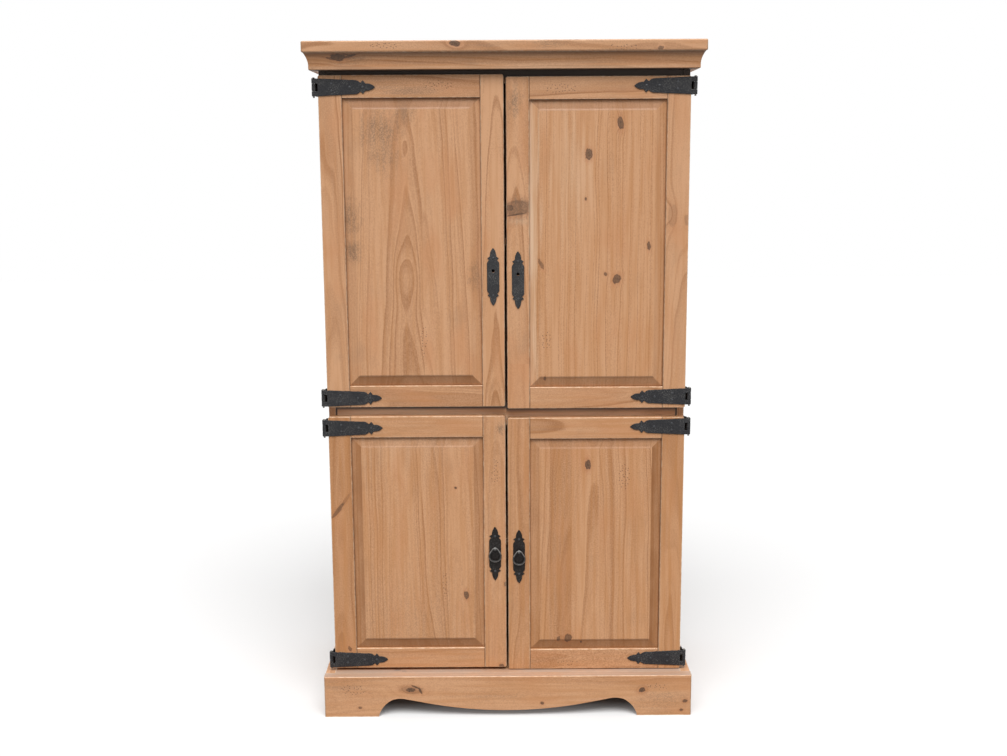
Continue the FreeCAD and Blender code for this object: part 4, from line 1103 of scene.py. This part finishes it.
# Painted shade on the edges where two doors meet, for the dark gap between them.
gap_edge_shade = {"upper_left_meeting_stile": 0.8, "upper_right_meeting_stile": 1.0,
           "lower_left_meeting_stile": 0.5, "lower_right_meeting_stile": 0.65}
for name, board in door_boards.items():
    if name.endswith("rail"):
        dress(name, pine_board(name, "ZYX", grimy=rail_wax, inset=rail_tenon(name), **board))
    elif name.endswith("panel"):
        panel_finish[name] = pine_board(name, "XYZ", grimy=panel_wax, inset=panel_inset(name),
                                        **board)
    else:
        inner_first = ("left" in name) == ("hinge" in name)
        inner, outer = ("high", "low") if inner_first else ("low", "high")
        grimy = ((inner, stile_wax), (outer, gap_edge_shade.get(name, 0.0)))
        dress(name, pine_board(name, "XYZ", grimy=grimy, **board))
print(len(door_boards), "door boards, tongues", round(panel_inset("upper_left_panel"), 2), "mm")

# %% [markdown]
# ## Metals
#
# The hinges and plates are mild steel, hammered and blackened, so they are dull and pitted.
# The black skin is mostly scale and lacquer: it mirrors less than bare iron, and shows pale flecks
# where it is scuffed. The plates of the lower doors are a darker, warmer black than those of the
# upper doors: the darkness is painted shade, for the lesser light the lower ones catch. A shiny
# metal could be tuned down by roughness alone, but it would still mirror the floor, so its metallic
# share is low too.
# %% The material of a metal
hammer_pitch = 5.0
hammer_depth = 0.5
cloud_pitches = 7
fleck_size = 2.6
fleck_grey = "#6C6A67"
ring_rub_and_highlight = "#7C7A78"


def rubbed_and_lit_outside(tree, start, centre):
    """One on the outer side of a ring about this centre, less at its left and right: rubbed wear,
    and painted highlight where light catches the top and bottom of the ring.
    """
    out = add(tree, "ShaderNodeVectorMath", start, centre, operation="SUBTRACT")
    out = add(tree, "ShaderNodeVectorMath", out, (1, 0, 1), operation="MULTIPLY")
    out = add(tree, "ShaderNodeVectorMath", out, operation="NORMALIZE")
    sideways = add(tree, "ShaderNodeSeparateXYZ", out).outputs["X"]
    sideways = add(tree, "ShaderNodeMath", sideways, operation="ABSOLUTE")
    normal = tree.nodes.new("ShaderNodeTexCoord").outputs["Normal"]
    out = add(tree, "ShaderNodeVectorMath", out, normal, operation="DOT_PRODUCT")
    out = fade(tree, out.outputs["Value"], -0.1, 0.5, 0.0, 1.0)
    return add(tree, "ShaderNodeMath", out, fade(tree, sideways, 0.84, 0.98, 1.0, 0.12),
               operation="MULTIPLY")


def metal(name, colour, worn, worn_amount, metallic=0.1, roughness=0.5, pitch=hammer_pitch,
          depth=hammer_depth, specular=0.5, flecks=0.0, rub_and_highlight_about=None):
    """A metal with pits, clouds of a worn tint and pale flecks; pitch and depth are in mm."""
    material, tree = new_material(name)
    start = add(tree, "ShaderNodeTexCoord").outputs["Object"]
    place = add(tree, "ShaderNodeVectorMath", start, (1 / MM,) * 3, operation="MULTIPLY")
    dents = stretched_noise(tree, place, (pitch,) * 3, 1.0, 3.0)
    clouds = stretched_noise(tree, place, (pitch * cloud_pitches,) * 3, 5.0, 3.0)
    wear = fade(tree, clouds, 0.45, 0.75, 0.0, worn_amount)
    tint = tinted(tree, wear, linear(colour), worn)
    if flecks:
        dots = stretched_noise(tree, place, (fleck_size,) * 3, 9.0, 2.0)
        dots = fade(tree, dots, 0.5, 0.64, 0.0, flecks)
        dots = add(tree, "ShaderNodeMath", dots, fade(tree, clouds, 0.4, 0.62, 0.25, 1.0),
                   operation="MULTIPLY")
        tint = tinted(tree, dots, tint, fleck_grey)
    # The ring's outer side is rubbed pale and painted with highlight.
    if rub_and_highlight_about:
        tint = tinted(tree, rubbed_and_lit_outside(tree, start, rub_and_highlight_about), tint, ring_rub_and_highlight)
    rough = add(tree, "ShaderNodeMapRange", dents, 0.3, 0.7, roughness - 0.08, roughness + 0.1)
    relief = add(tree, "ShaderNodeBump", 0.7, depth * MM, named={"Height": dents})
    show(tree, add(tree, "ShaderNodeBsdfPrincipled", named={
        "Base Color": tint, "Metallic": metallic, "Roughness": rough, "Normal": relief,
        "Specular IOR Level": specular}))
    return material


print("hammer marks lie about", hammer_pitch, "mm apart")

# %% [markdown]
# ### Which metal goes where
#
# The plates of the upper doors are painted a lighter black and those of the lower doors a darker
# one, as painted light and shade; the straps have a thinner lacquer, and screw heads and pulls are
# rubbed by tools and fingers. The stud of a pull is also painted lighter as its highlight, and a
# ring's outer side carries painted highlight. The pins are plain steel, the catches brass.
# %% Iron, steel and brass
upper_plate_iron_lit = "#232325"
strap_iron = "#212124"
dark_warm_iron = "#191412"
worn_iron = "#3B3A39"
screw_iron = "#3B3C3F"
stud_rub_and_highlight_grey = "#5A5957"
pin_grey = "#77746F"
pin_shadow = "#4E4B47"
catch_yellow = "#B98E4A"
catch_brown = "#7A5C33"
upper_plate_black_lit = metal("blackened_iron_upper_lit", upper_plate_iron_lit, worn_iron, 0.3, metallic=0.2, roughness=0.55,
                  specular=0.4, flecks=0.7)
strap_black = metal("blackened_iron_strap", strap_iron, worn_iron, 0.2, roughness=0.55,
                    specular=0.3, flecks=0.6)
lower_plate_black_shaded = metal("blackened_iron_waxed", dark_warm_iron, worn_iron, 0.15, specular=0.2,
                    flecks=0.4)
screw_black = metal("blackened_screw", screw_iron, worn_iron, 0.3, metallic=0.3,
                    roughness=0.45, pitch=3.0, depth=0.1)
# The stud is a lighter iron: rubbed by fingers, and painted highlight for its bright spot.
stud_rub_and_highlight = metal("blackened_iron_rubbed_and_highlight", stud_rub_and_highlight_grey, dark_warm_iron, 0.2, metallic=0.6,
                 roughness=0.45, pitch=4.0, depth=0.1)
pin_steel = metal("dull_steel_pin", pin_grey, pin_shadow, 0.6, metallic=1.0, roughness=0.42,
                  pitch=3.0, depth=0.05)
brass = metal("tarnished_brass_catch", catch_yellow, catch_brown, 0.6, metallic=1.0,
              roughness=0.35, pitch=4.0, depth=0.1)


def metal_of(row):
    """The metal of a record row; none for a board."""
    if row["node"].endswith("pull_stud"):
        return stud_rub_and_highlight
    if row["node"].endswith("screws"):
        return screw_black
    if row["node"].endswith(("straps", "leaves")):
        return strap_black
    # Painted light and shade: the upper plates get the lighter black, the lower plates the darker.
    if row["material_slot"] == "black_iron":
        return lower_plate_black_shaded if row["node"].startswith("lower") else upper_plate_black_lit
    return {"pin_steel": pin_steel, "catch_brass": brass}.get(row["material_slot"])


metal_by_node = {row["node"]: metal_of(row) for row in frame["record"]["subparts"]
                 if metal_of(row)}
for name, finish in metal_by_node.items():
    dress(name, finish)
print(len(metal_by_node), "metal nodes dressed")

# %% [markdown]
# ## Growing pieces by rule
#
# Some pieces repeat, follow a path or have a shape that a rule gives in full. Those are grown
# with Geometry Nodes instead of modelled by hand: change one number and all of them follow.
# The result is taken as a plain mesh, so nothing is left to evaluate later.
# %% A tree of geometry nodes, and its plain result
def geometry_tree(name, inputs):
    """An empty tree of geometry nodes with named inputs; a mesh goes in and a mesh comes out."""
    tree = bpy.data.node_groups.new(name, "GeometryNodeTree")
    tree.interface.new_socket("Geometry", in_out="INPUT", socket_type="NodeSocketGeometry")
    for label, kind in inputs:
        tree.interface.new_socket(label, in_out="INPUT", socket_type=kind)
    tree.interface.new_socket("Geometry", in_out="OUTPUT", socket_type="NodeSocketGeometry")
    return tree, tree.nodes.new("NodeGroupInput").outputs, tree.nodes.new("NodeGroupOutput").inputs


def finish_tree(tree, shape, given, wanted):
    """End a tree as the export needs it: real meshes, with the finish on them."""
    whole = add(tree, "GeometryNodeRealizeInstances", shape)
    finished = add(tree, "GeometryNodeSetMaterial", whole, True, given["Finish"])
    tree.links.new(finished.outputs[0], wanted["Geometry"])
    return tree


def plain_result(obj):
    """The evaluated shape of an object as a mesh of its own; the object is removed."""
    depsgraph = bpy.context.evaluated_depsgraph_get()
    mesh = bpy.data.meshes.new_from_object(obj.evaluated_get(depsgraph), depsgraph=depsgraph)
    old = obj.data
    bpy.data.objects.remove(obj)
    if old.users == 0:
        bpy.data.meshes.remove(old)
    return mesh


def grown(tree, base, values):
    """The mesh that the tree makes of a base mesh with these named values."""
    obj = bpy.data.objects.new("growing", base)
    scene.collection.objects.link(obj)
    modifier = obj.modifiers.new("grow", "NODES")
    modifier.node_group = tree
    for item in tree.interface.items_tree:
        if item.item_type == "SOCKET" and item.in_out == "INPUT" and item.name in values:
            modifier[item.identifier] = values[item.name]
    return plain_result(obj)


print("a grown piece is a plain mesh")

# %% [markdown]
# ## Pieces that stand in for solids
#
# A finished mesh takes the place of one solid: it rides on the same body and hides the solid. To
# know where each screw or pin of a solid sits, the solid is taken apart into the lumps that hang
# together. Its own mesh is loose triangles, so a copy is joined first and the solid stays as it is.
# The lumps come in the order of the mesh, so that each run of the script turns the same screw by
# the same angle.
# %% Placing a piece, and the lumps of a solid
def place_piece(name, mesh, slot, body, *nodes):
    """A finished mesh as a piece of the cupboard, in the place of these solids."""
    mesh.name = name
    piece = bpy.data.objects.new(name, mesh)
    scene.collection.objects.link(piece)
    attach(piece, body)
    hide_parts(*nodes)
    return piece


def merged_copy(node):
    """A copy of a solid's mesh whose loose triangles are joined."""
    mesh = frame["nodes"][node].data.copy()
    work = bmesh.new()
    work.from_mesh(mesh)
    bmesh.ops.remove_doubles(work, verts=work.verts, dist=0.001 * MM)
    work.to_mesh(mesh)
    work.free()
    return mesh


def islands(node):
    """Lowest and highest corner of each separate lump of a solid, in the order of its mesh."""
    mesh = merged_copy(node)
    work = bmesh.new()
    work.from_mesh(mesh)
    seen, boxes = set(), []
    for start in work.verts:
        if start in seen:
            continue
        seen.add(start)
        lump = [start]
        for vertex in lump:
            beside = [edge.other_vert(vertex) for edge in vertex.link_edges]
            new = [other for other in beside if other not in seen]
            seen.update(new)
            lump += new
        corners = [[pick(vertex.co[i] for vertex in lump) for i in range(3)]
                   for pick in (min, max)]
        boxes.append((Vector(corners[0]), Vector(corners[1])))
    work.free()
    bpy.data.meshes.remove(mesh)
    return boxes


print("the screws of one door:", len(islands("upper_left_screws")))

# %% [markdown]
# ## Raised panels
#
# A raised panel is thin at its edges, where it sits in a groove, then slopes up and steps to a
# flat field. A joiner cuts that with one moulding plane on all four sides, so the height at
# any place depends only on how near the nearest edge is. That is a rule: a block with many
# points takes its front from it, and the arrises come out softly rounded, as sanded ones are.
# %% Panels from a rule
bevel_rise = 5.4
field_step = 1.8
panel_points = 61
margin_share = 0.6
margin_field = 4.5
step_softness = 2.0


def panel_tree():
    """A block whose points crowd towards its margins and whose front follows the bevel."""
    tree, given, wanted = geometry_tree("raised_panel", [
        ("Centre", "NodeSocketVector"), ("Half Width", "NodeSocketFloat"),
        ("Half Height", "NodeSocketFloat"), ("Tongue Reach", "NodeSocketFloat"),
        ("Tongue Thick", "NodeSocketFloat"), ("Finish", "NodeSocketMaterial")])
    block = add(tree, "GeometryNodeMeshCube", (2.0, 2.0, 2.0), panel_points, 2, panel_points)
    start = add(tree, "ShaderNodeSeparateXYZ", add(tree, "GeometryNodeInputPosition")).outputs
    margin = add(tree, "ShaderNodeMath", given["Tongue Reach"],
                 (bevel_width + margin_field) * MM, operation="ADD")
    places, gaps = [], []
    for letter, half in (("X", given["Half Width"]), ("Z", given["Half Height"])):
        size = add(tree, "ShaderNodeMath", start[letter], operation="ABSOLUTE")
        sign = add(tree, "ShaderNodeMath", start[letter], operation="SIGN")
        inner = add(tree, "ShaderNodeMath", half, margin, operation="SUBTRACT")
        far = add(tree, "ShaderNodeMapRange", size, 0.0, 1 - margin_share, 0.0, inner)
        near = add(tree, "ShaderNodeMapRange", size, 1 - margin_share, 1.0, 0.0, margin)
        away = add(tree, "ShaderNodeMath", far, near, operation="ADD")
        places.append(add(tree, "ShaderNodeMath", away, sign, operation="MULTIPLY"))
        gap = add(tree, "ShaderNodeMath", half, away, operation="SUBTRACT")
        gaps.append(add(tree, "ShaderNodeMath", gap, given["Tongue Reach"],
                        operation="SUBTRACT"))
    nearest = add(tree, "ShaderNodeMath", *gaps, operation="MINIMUM")
    slope = add(tree, "ShaderNodeMapRange", nearest, 0.0, bevel_width * MM, 0.0, bevel_rise * MM)
    step = add(tree, "ShaderNodeMapRange", nearest, (bevel_width - step_softness / 2) * MM,
               (bevel_width + step_softness) * MM, 0.0, field_step * MM,
               interpolation_type="SMOOTHSTEP")
    rise = add(tree, "ShaderNodeMath", slope, step, operation="ADD")
    front = add(tree, "ShaderNodeMath", rise, -1.0, operation="MULTIPLY")
    is_back = add(tree, "ShaderNodeMath", start["Y"], 0.0, operation="GREATER_THAN")
    depth = add(tree, "ShaderNodeMix", is_back, front, given["Tongue Thick"], data_type="FLOAT")
    spot = add(tree, "ShaderNodeCombineXYZ", places[0], depth, places[1])
    spot = add(tree, "ShaderNodeVectorMath", spot, given["Centre"], operation="ADD")
    shaped = add(tree, "GeometryNodeSetPosition", block, True, spot)
    facing = add(tree, "ShaderNodeSeparateXYZ", add(tree, "GeometryNodeInputNormal"))
    is_front = add(tree, "ShaderNodeMath", facing.outputs["Y"], -0.5, operation="LESS_THAN")
    smooth = add(tree, "GeometryNodeSetShadeSmooth", shaped, is_front, True)
    return finish_tree(tree, smooth, given, wanted)


raised_panel = panel_tree()
for name, finish in panel_finish.items():
    low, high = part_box(name)
    tongue_front = low.y + (bevel_rise + field_step) * MM
    mesh = grown(raised_panel, bpy.data.meshes.new("empty"), {
        "Centre": ((low.x + high.x) / 2, tongue_front, (low.z + high.z) / 2),
        "Half Width": (high.x - low.x) / 2, "Half Height": (high.z - low.z) / 2,
        "Tongue Reach": panel_inset(name) * MM, "Tongue Thick": high.y - tongue_front,
        "Finish": finish})
    place_piece(name + "_raised", mesh, "waxed_pine", body_of_node[name], name)
    print(name, len(mesh.polygons), "faces")

# %% [markdown]
# ## Forged iron
#
# A smith's plate isn't flat: the hammer leaves shallow dents and the edges are a little
# rounded. Carving that by hand would take days. A voxel remesh gives the plate an even skin
# of small faces with soft edges, and a rule then sinks them where the hammer fell. Dents go
# inwards only, so the iron keeps its outer size.
# %% Hammered plates
iron_skin = 1.0
dent_depth = 0.35


def hammer_tree():
    """Sinks a mesh along its normals by noise."""
    tree, given, wanted = geometry_tree("hammered", [("Finish", "NodeSocketMaterial")])
    place = add(tree, "ShaderNodeVectorMath", add(tree, "GeometryNodeInputPosition"),
                (1 / MM,) * 3, operation="MULTIPLY")
    dents = stretched_noise(tree, place, (hammer_pitch * 1.6,) * 3, 2.0, 2.0)
    sunk = add(tree, "ShaderNodeMapRange", dents, 0.4, 0.65, 0.0, -dent_depth * MM)
    push = add(tree, "ShaderNodeVectorMath", add(tree, "GeometryNodeInputNormal"),
               named={"Scale": sunk}, operation="SCALE")
    shaped = add(tree, "GeometryNodeSetPosition", given["Geometry"], named={"Offset": push})
    smooth = add(tree, "GeometryNodeSetShadeSmooth", shaped, True, True)
    return finish_tree(tree, smooth, given, wanted)


hammered = hammer_tree()
iron_nodes = [row["node"] for row in frame["record"]["subparts"]
              if row["node"].endswith(("_straps", "_pull_plate", "_side_leaves"))]
for name in iron_nodes:
    blank = bpy.data.objects.new("blank", merged_copy(name))
    scene.collection.objects.link(blank)
    remesh = blank.modifiers.new("skin", "REMESH")
    remesh.mode = "VOXEL"
    remesh.voxel_size = iron_skin * MM
    mesh = grown(hammered, plain_result(blank), {"Finish": metal_by_node[name]})
    place_piece(name + "_forged", mesh, "black_iron", body_of_node[name], name)
    print(name, len(mesh.polygons), "faces")

# %% [markdown]
# ## Screws and pins
#
# Screws and pins are turned on a lathe. Here a profile goes round an axis: each of its points
# becomes a ring, or one tip on the axis, and each ring is joined to the next. That gives a
# clean round piece of few faces. A cylinder with a squashed ball on top would look alike, but
# the two would cut through each other inside.
# %% Turned pieces
lathe_steps = 12
dome_angles = (0.0, 0.45, 0.95, math.pi / 2)


def turned(name, profile):
    """A lathe-turned mesh from a profile of radii and heights in millimetres, from the top."""
    points, rings, faces = [], [], []
    for radius, height in profile:
        turns = [2 * math.pi * i / lathe_steps for i in range(lathe_steps if radius else 1)]
        rings.append(range(len(points), len(points) + len(turns)))
        points += [(radius * MM * math.cos(turn), radius * MM * math.sin(turn), height * MM)
                   for turn in turns]
    for upper, lower in zip(rings, rings[1:]):
        for i in range(lathe_steps):
            corners = (upper[i % len(upper)], lower[i % len(lower)],
                       lower[(i + 1) % len(lower)], upper[(i + 1) % len(upper)])
            faces.append(list(dict.fromkeys(corners)))
    mesh = bpy.data.meshes.new(name)
    mesh.from_pydata(points, [], faces)
    return mesh


def domed(head_radius, head_height, shank_radius, shank_length):
    """Profile of a domed head over a plain shank; height zero is under the head."""
    dome = [(head_radius * math.sin(a), head_height * math.cos(a)) for a in dome_angles]
    return dome + [(shank_radius, 0.0), (shank_radius, -shank_length), (0.0, -shank_length)]


print("turned pieces have", lathe_steps, "sides")

# %% [markdown]
# ## Setting pieces in their places
#
# All screws of a door are one piece of the export, so they are made as one mesh: a point for
# each, with the way it faces, and the same screw set on every point. No two slots end up at
# the same angle, because the last turn of the driver stops where the wood holds, so each
# screw is turned at random with a fixed seed.
# %% A tree that sets a piece on points
def setting_tree():
    """Sets an object on each point: its axis goes outward, and it is turned at random."""
    tree, given, wanted = geometry_tree("set_in_place", [
        ("Piece", "NodeSocketObject"), ("Seed", "NodeSocketInt"),
        ("Finish", "NodeSocketMaterial")])
    piece = add(tree, "GeometryNodeObjectInfo", given["Piece"])
    outward = add(tree, "GeometryNodeInputNamedAttribute", "outward", data_type="FLOAT_VECTOR")
    upright = add(tree, "FunctionNodeAlignRotationToVector", None, 1.0, outward, axis="Z")
    angle = add(tree, "FunctionNodeRandomValue", 0.0, 2 * math.pi, None, given["Seed"])
    spin = add(tree, "FunctionNodeEulerToRotation",
               add(tree, "ShaderNodeCombineXYZ", 0.0, 0.0, angle))
    turn = add(tree, "FunctionNodeRotateRotation", upright, spin, rotation_space="LOCAL")
    set_in = add(tree, "GeometryNodeInstanceOnPoints", given["Geometry"],
                 named={"Instance": piece.outputs["Geometry"], "Rotation": turn})
    return finish_tree(tree, set_in, given, wanted)


def set_pieces(piece_mesh, places, seed, finish):
    """One mesh of all the pieces; each place is a point and the way it faces."""
    piece = bpy.data.objects.new("piece", piece_mesh)
    scene.collection.objects.link(piece)
    base = bpy.data.meshes.new("places")
    base.from_pydata([point for point, _ in places], [], [])
    outward = base.attributes.new("outward", "FLOAT_VECTOR", "POINT")
    for item, (_, way) in zip(outward.data, places):
        item.vector = way
    mesh = grown(set_in_place, base, {"Piece": piece, "Seed": seed, "Finish": finish})
    bpy.data.objects.remove(piece)
    return mesh


set_in_place = setting_tree()
print("set_in_place has", len(set_in_place.nodes), "nodes")

# %% [markdown]
# ## Slotted screws
#
# Every screw has a domed head with one slot, as old wood screws have. The slot is cut with a
# boolean on the one screw that all others copy, so it costs next to nothing. The solids'
# lumps say where each screw sits and how long it is.
# %% Screws of the doors and the side leaves
screw_head_radius = 3.5
screw_head_height = 1.7
screw_shank_radius = 1.6
slot_width = 0.9
slot_depth = 0.8
slot_cutter = bpy.data.meshes.new("slot")
cutter_work = bmesh.new()
bmesh.ops.create_cube(cutter_work, size=1.0)
bmesh.ops.scale(cutter_work, verts=cutter_work.verts,
                vec=(3 * screw_head_radius * MM, slot_width * MM, slot_depth * 2 * MM))
bmesh.ops.translate(cutter_work, verts=cutter_work.verts, vec=(0, 0, screw_head_height * MM))
cutter_work.to_mesh(slot_cutter)
cutter_work.free()
cutter = bpy.data.objects.new("cutter", slot_cutter)
scene.collection.objects.link(cutter)


def slotted_screw(length):
    """A screw with this shank length, in millimetres."""
    profile = domed(screw_head_radius, screw_head_height, screw_shank_radius, length)
    blank = bpy.data.objects.new("blank", turned("screw", profile))
    scene.collection.objects.link(blank)
    slot = blank.modifiers.new("slot", "BOOLEAN")
    slot.operation = "DIFFERENCE"
    slot.solver = "EXACT"
    slot.object = cutter
    return plain_result(blank)


for index, name in enumerate(row["node"] for row in frame["record"]["subparts"]
                             if row["node"].endswith("screws")):
    on_body = name == "side_leaf_screws"
    places = []
    for low, high in islands(name):
        middle = (low + high) / 2
        way = Vector((math.copysign(1, middle.x), 0, 0)) if on_body else Vector((0, -1, 0))
        reach = abs((high - low).dot(way))
        point = middle + way * (reach / 2 - screw_head_height * MM)
        places.append((point, way))
    length = reach / MM - screw_head_height
    mesh = set_pieces(slotted_screw(length), places, index + 1, metal_by_node[name])
    place_piece(name + "_turned", mesh, "black_iron", body_of_node[name], name)
    print(name, len(places), "screws,", len(mesh.polygons), "faces")
bpy.data.objects.remove(cutter)
bpy.data.meshes.remove(slot_cutter)

# %% [markdown]
# ## Pins
#
# A loose pin with a domed head drops through each hinge, so that a door can be lifted off.
# The shelves lie on plain steel pins with a rounded end. Both are turned like the screws, and
# their lengths come from the solids.
# %% Hinge pins and shelf pins
pin_head_radius = 4.2
pin_head_height = 2.5
pin_shank_radius = 2.4
pin_seed = 21
pins = islands("hinge_pins")
pin_length = (pins[0][1].z - pins[0][0].z) / MM - pin_head_height
places = []
for low, high in pins:
    under_head = high.z - pin_head_height * MM
    point = Vector(((low.x + high.x) / 2, (low.y + high.y) / 2, under_head))
    places.append((point, Vector((0, 0, 1))))
pin = turned("pin", domed(pin_head_radius, pin_head_height, pin_shank_radius, pin_length))
mesh = set_pieces(pin, places, pin_seed, pin_steel)
place_piece("hinge_pins_turned", mesh, "pin_steel", body_of_node["hinge_pins"], "hinge_pins")
print(len(pins), "hinge pins")

rod_end_flat = 0.7
rod_end_rise = 0.2
rod_end_length = 1.0
rod_seed = 22
rods = islands("shelf_pins")
rod_length = (rods[0][1].x - rods[0][0].x) / MM
rod_radius = (rods[0][1].z - rods[0][0].z) / 2 / MM
round_end = [(0.0, 0.0), (rod_radius * rod_end_flat, -rod_end_rise),
             (rod_radius, -rod_end_length), (rod_radius, -rod_length), (0.0, -rod_length)]
places = []
for low, high in rods:
    half = Vector((math.copysign((high.x - low.x) / 2, low.x), 0, 0))
    places.append(((low + high) / 2 - half, Vector((-math.copysign(1, low.x), 0, 0))))
mesh = set_pieces(turned("rod", round_end), places, rod_seed, pin_steel)
place_piece("shelf_pins_turned", mesh, "pin_steel", body_of_node["shelf_pins"], "shelf_pins")
print(len(rods), "shelf pins")

# %% [markdown]
# ## Drop pulls
#
# Each lower door hangs a teardrop ring in the eye of a stud. A smith draws a bar, bends it
# round a form and closes it at the top, so the ring is a round bar that follows a path. The
# bar was drawn a little thinner towards the top, which a plain torus wouldn't show.
# %% Rings that follow a path
ring_bar_radius = 2.5
ring_loop_radius = 15.4
ring_drop = 20.5
ring_top_half = 5.2
ring_top_bend = 4.0
ring_top_thin = 0.86
ring_loop_steps = 12
ring_line_points = 56
ring_bar_sides = 10
handled_iron = "#343332"


def teardrop():
    """The ring's middle line in front view, from the top round to the top, in millimetres."""
    reach = math.hypot(ring_top_half, ring_drop)
    to_centre = math.atan2(-ring_drop, -ring_top_half)
    arm_angle = to_centre + math.asin(ring_loop_radius / reach)
    arm = math.sqrt(reach ** 2 - ring_loop_radius ** 2)
    touch = Vector((ring_top_half + arm * math.cos(arm_angle), arm * math.sin(arm_angle)))
    centre = Vector((0.0, -ring_drop))
    start = math.atan2(touch.y - centre.y, touch.x)
    turn = -arm_angle
    setback = ring_top_bend * math.tan(turn / 2)
    corner = Vector((ring_top_half - setback, -ring_top_bend))
    right = [Vector((0.0, 0.0))]
    right += [corner + ring_top_bend * Vector((math.sin(turn * i / 4), math.cos(turn * i / 4)))
              for i in range(5)]
    turns = [start - (start + math.pi / 2) * i / ring_loop_steps
             for i in range(ring_loop_steps + 1)]
    right += [centre + ring_loop_radius * Vector((math.cos(a), math.sin(a))) for a in turns]
    left = [Vector((-point.x, point.y)) for point in reversed(right[1:-1])]
    return right + left


def ring_tree():
    """A round bar along the closed line that comes in, thinner towards its top."""
    tree, given, wanted = geometry_tree("ring_bar", [
        ("Bar Radius", "NodeSocketFloat"), ("Top", "NodeSocketFloat"),
        ("Height", "NodeSocketFloat"), ("Finish", "NodeSocketMaterial")])
    line = add(tree, "GeometryNodeMeshToCurve", given["Geometry"])
    line = add(tree, "GeometryNodeResampleCurve", line, True, ring_line_points)
    place = add(tree, "ShaderNodeSeparateXYZ", add(tree, "GeometryNodeInputPosition")).outputs
    below = add(tree, "ShaderNodeMath", given["Top"], place["Z"], operation="SUBTRACT")
    share = add(tree, "ShaderNodeMath", below, given["Height"], operation="DIVIDE")
    thick = add(tree, "ShaderNodeMapRange", share, 0.1, 0.7, ring_top_thin, 1.0,
                interpolation_type="SMOOTHSTEP")
    round_bar = add(tree, "GeometryNodeCurvePrimitiveCircle", ring_bar_sides,
                    given["Bar Radius"])
    bar = add(tree, "GeometryNodeCurveToMesh", line, round_bar, thick)
    smooth = add(tree, "GeometryNodeSetShadeSmooth", bar, True, True)
    return finish_tree(tree, smooth, given, wanted)


ring_bar = ring_tree()
for side in ("left", "right"):
    name = "lower_" + side + "_drop_pull"
    low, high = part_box(name)
    top = high.z - ring_bar_radius * MM
    centre = ((low.x + high.x) / 2, (low.y + high.y) / 2, top - ring_drop * MM)
    handled = metal("blackened_iron_handled_" + side, handled_iron, dark_warm_iron, 0.4,
                    metallic=0.6, roughness=0.4, pitch=4.0, depth=0.15, rub_and_highlight_about=centre)
    line = teardrop()
    base = bpy.data.meshes.new("line")
    base.from_pydata([((low.x + high.x) / 2 + point.x * MM, (low.y + high.y) / 2,
                       top + point.y * MM) for point in line],
                     [(i, (i + 1) % len(line)) for i in range(len(line))], [])
    mesh = grown(ring_bar, base, {"Bar Radius": ring_bar_radius * MM, "Top": top,
                                  "Height": high.z - low.z, "Finish": handled})
    place_piece(name + "_ring", mesh, "black_iron", body_of_node[name], name)
    print(name, len(mesh.polygons), "faces")
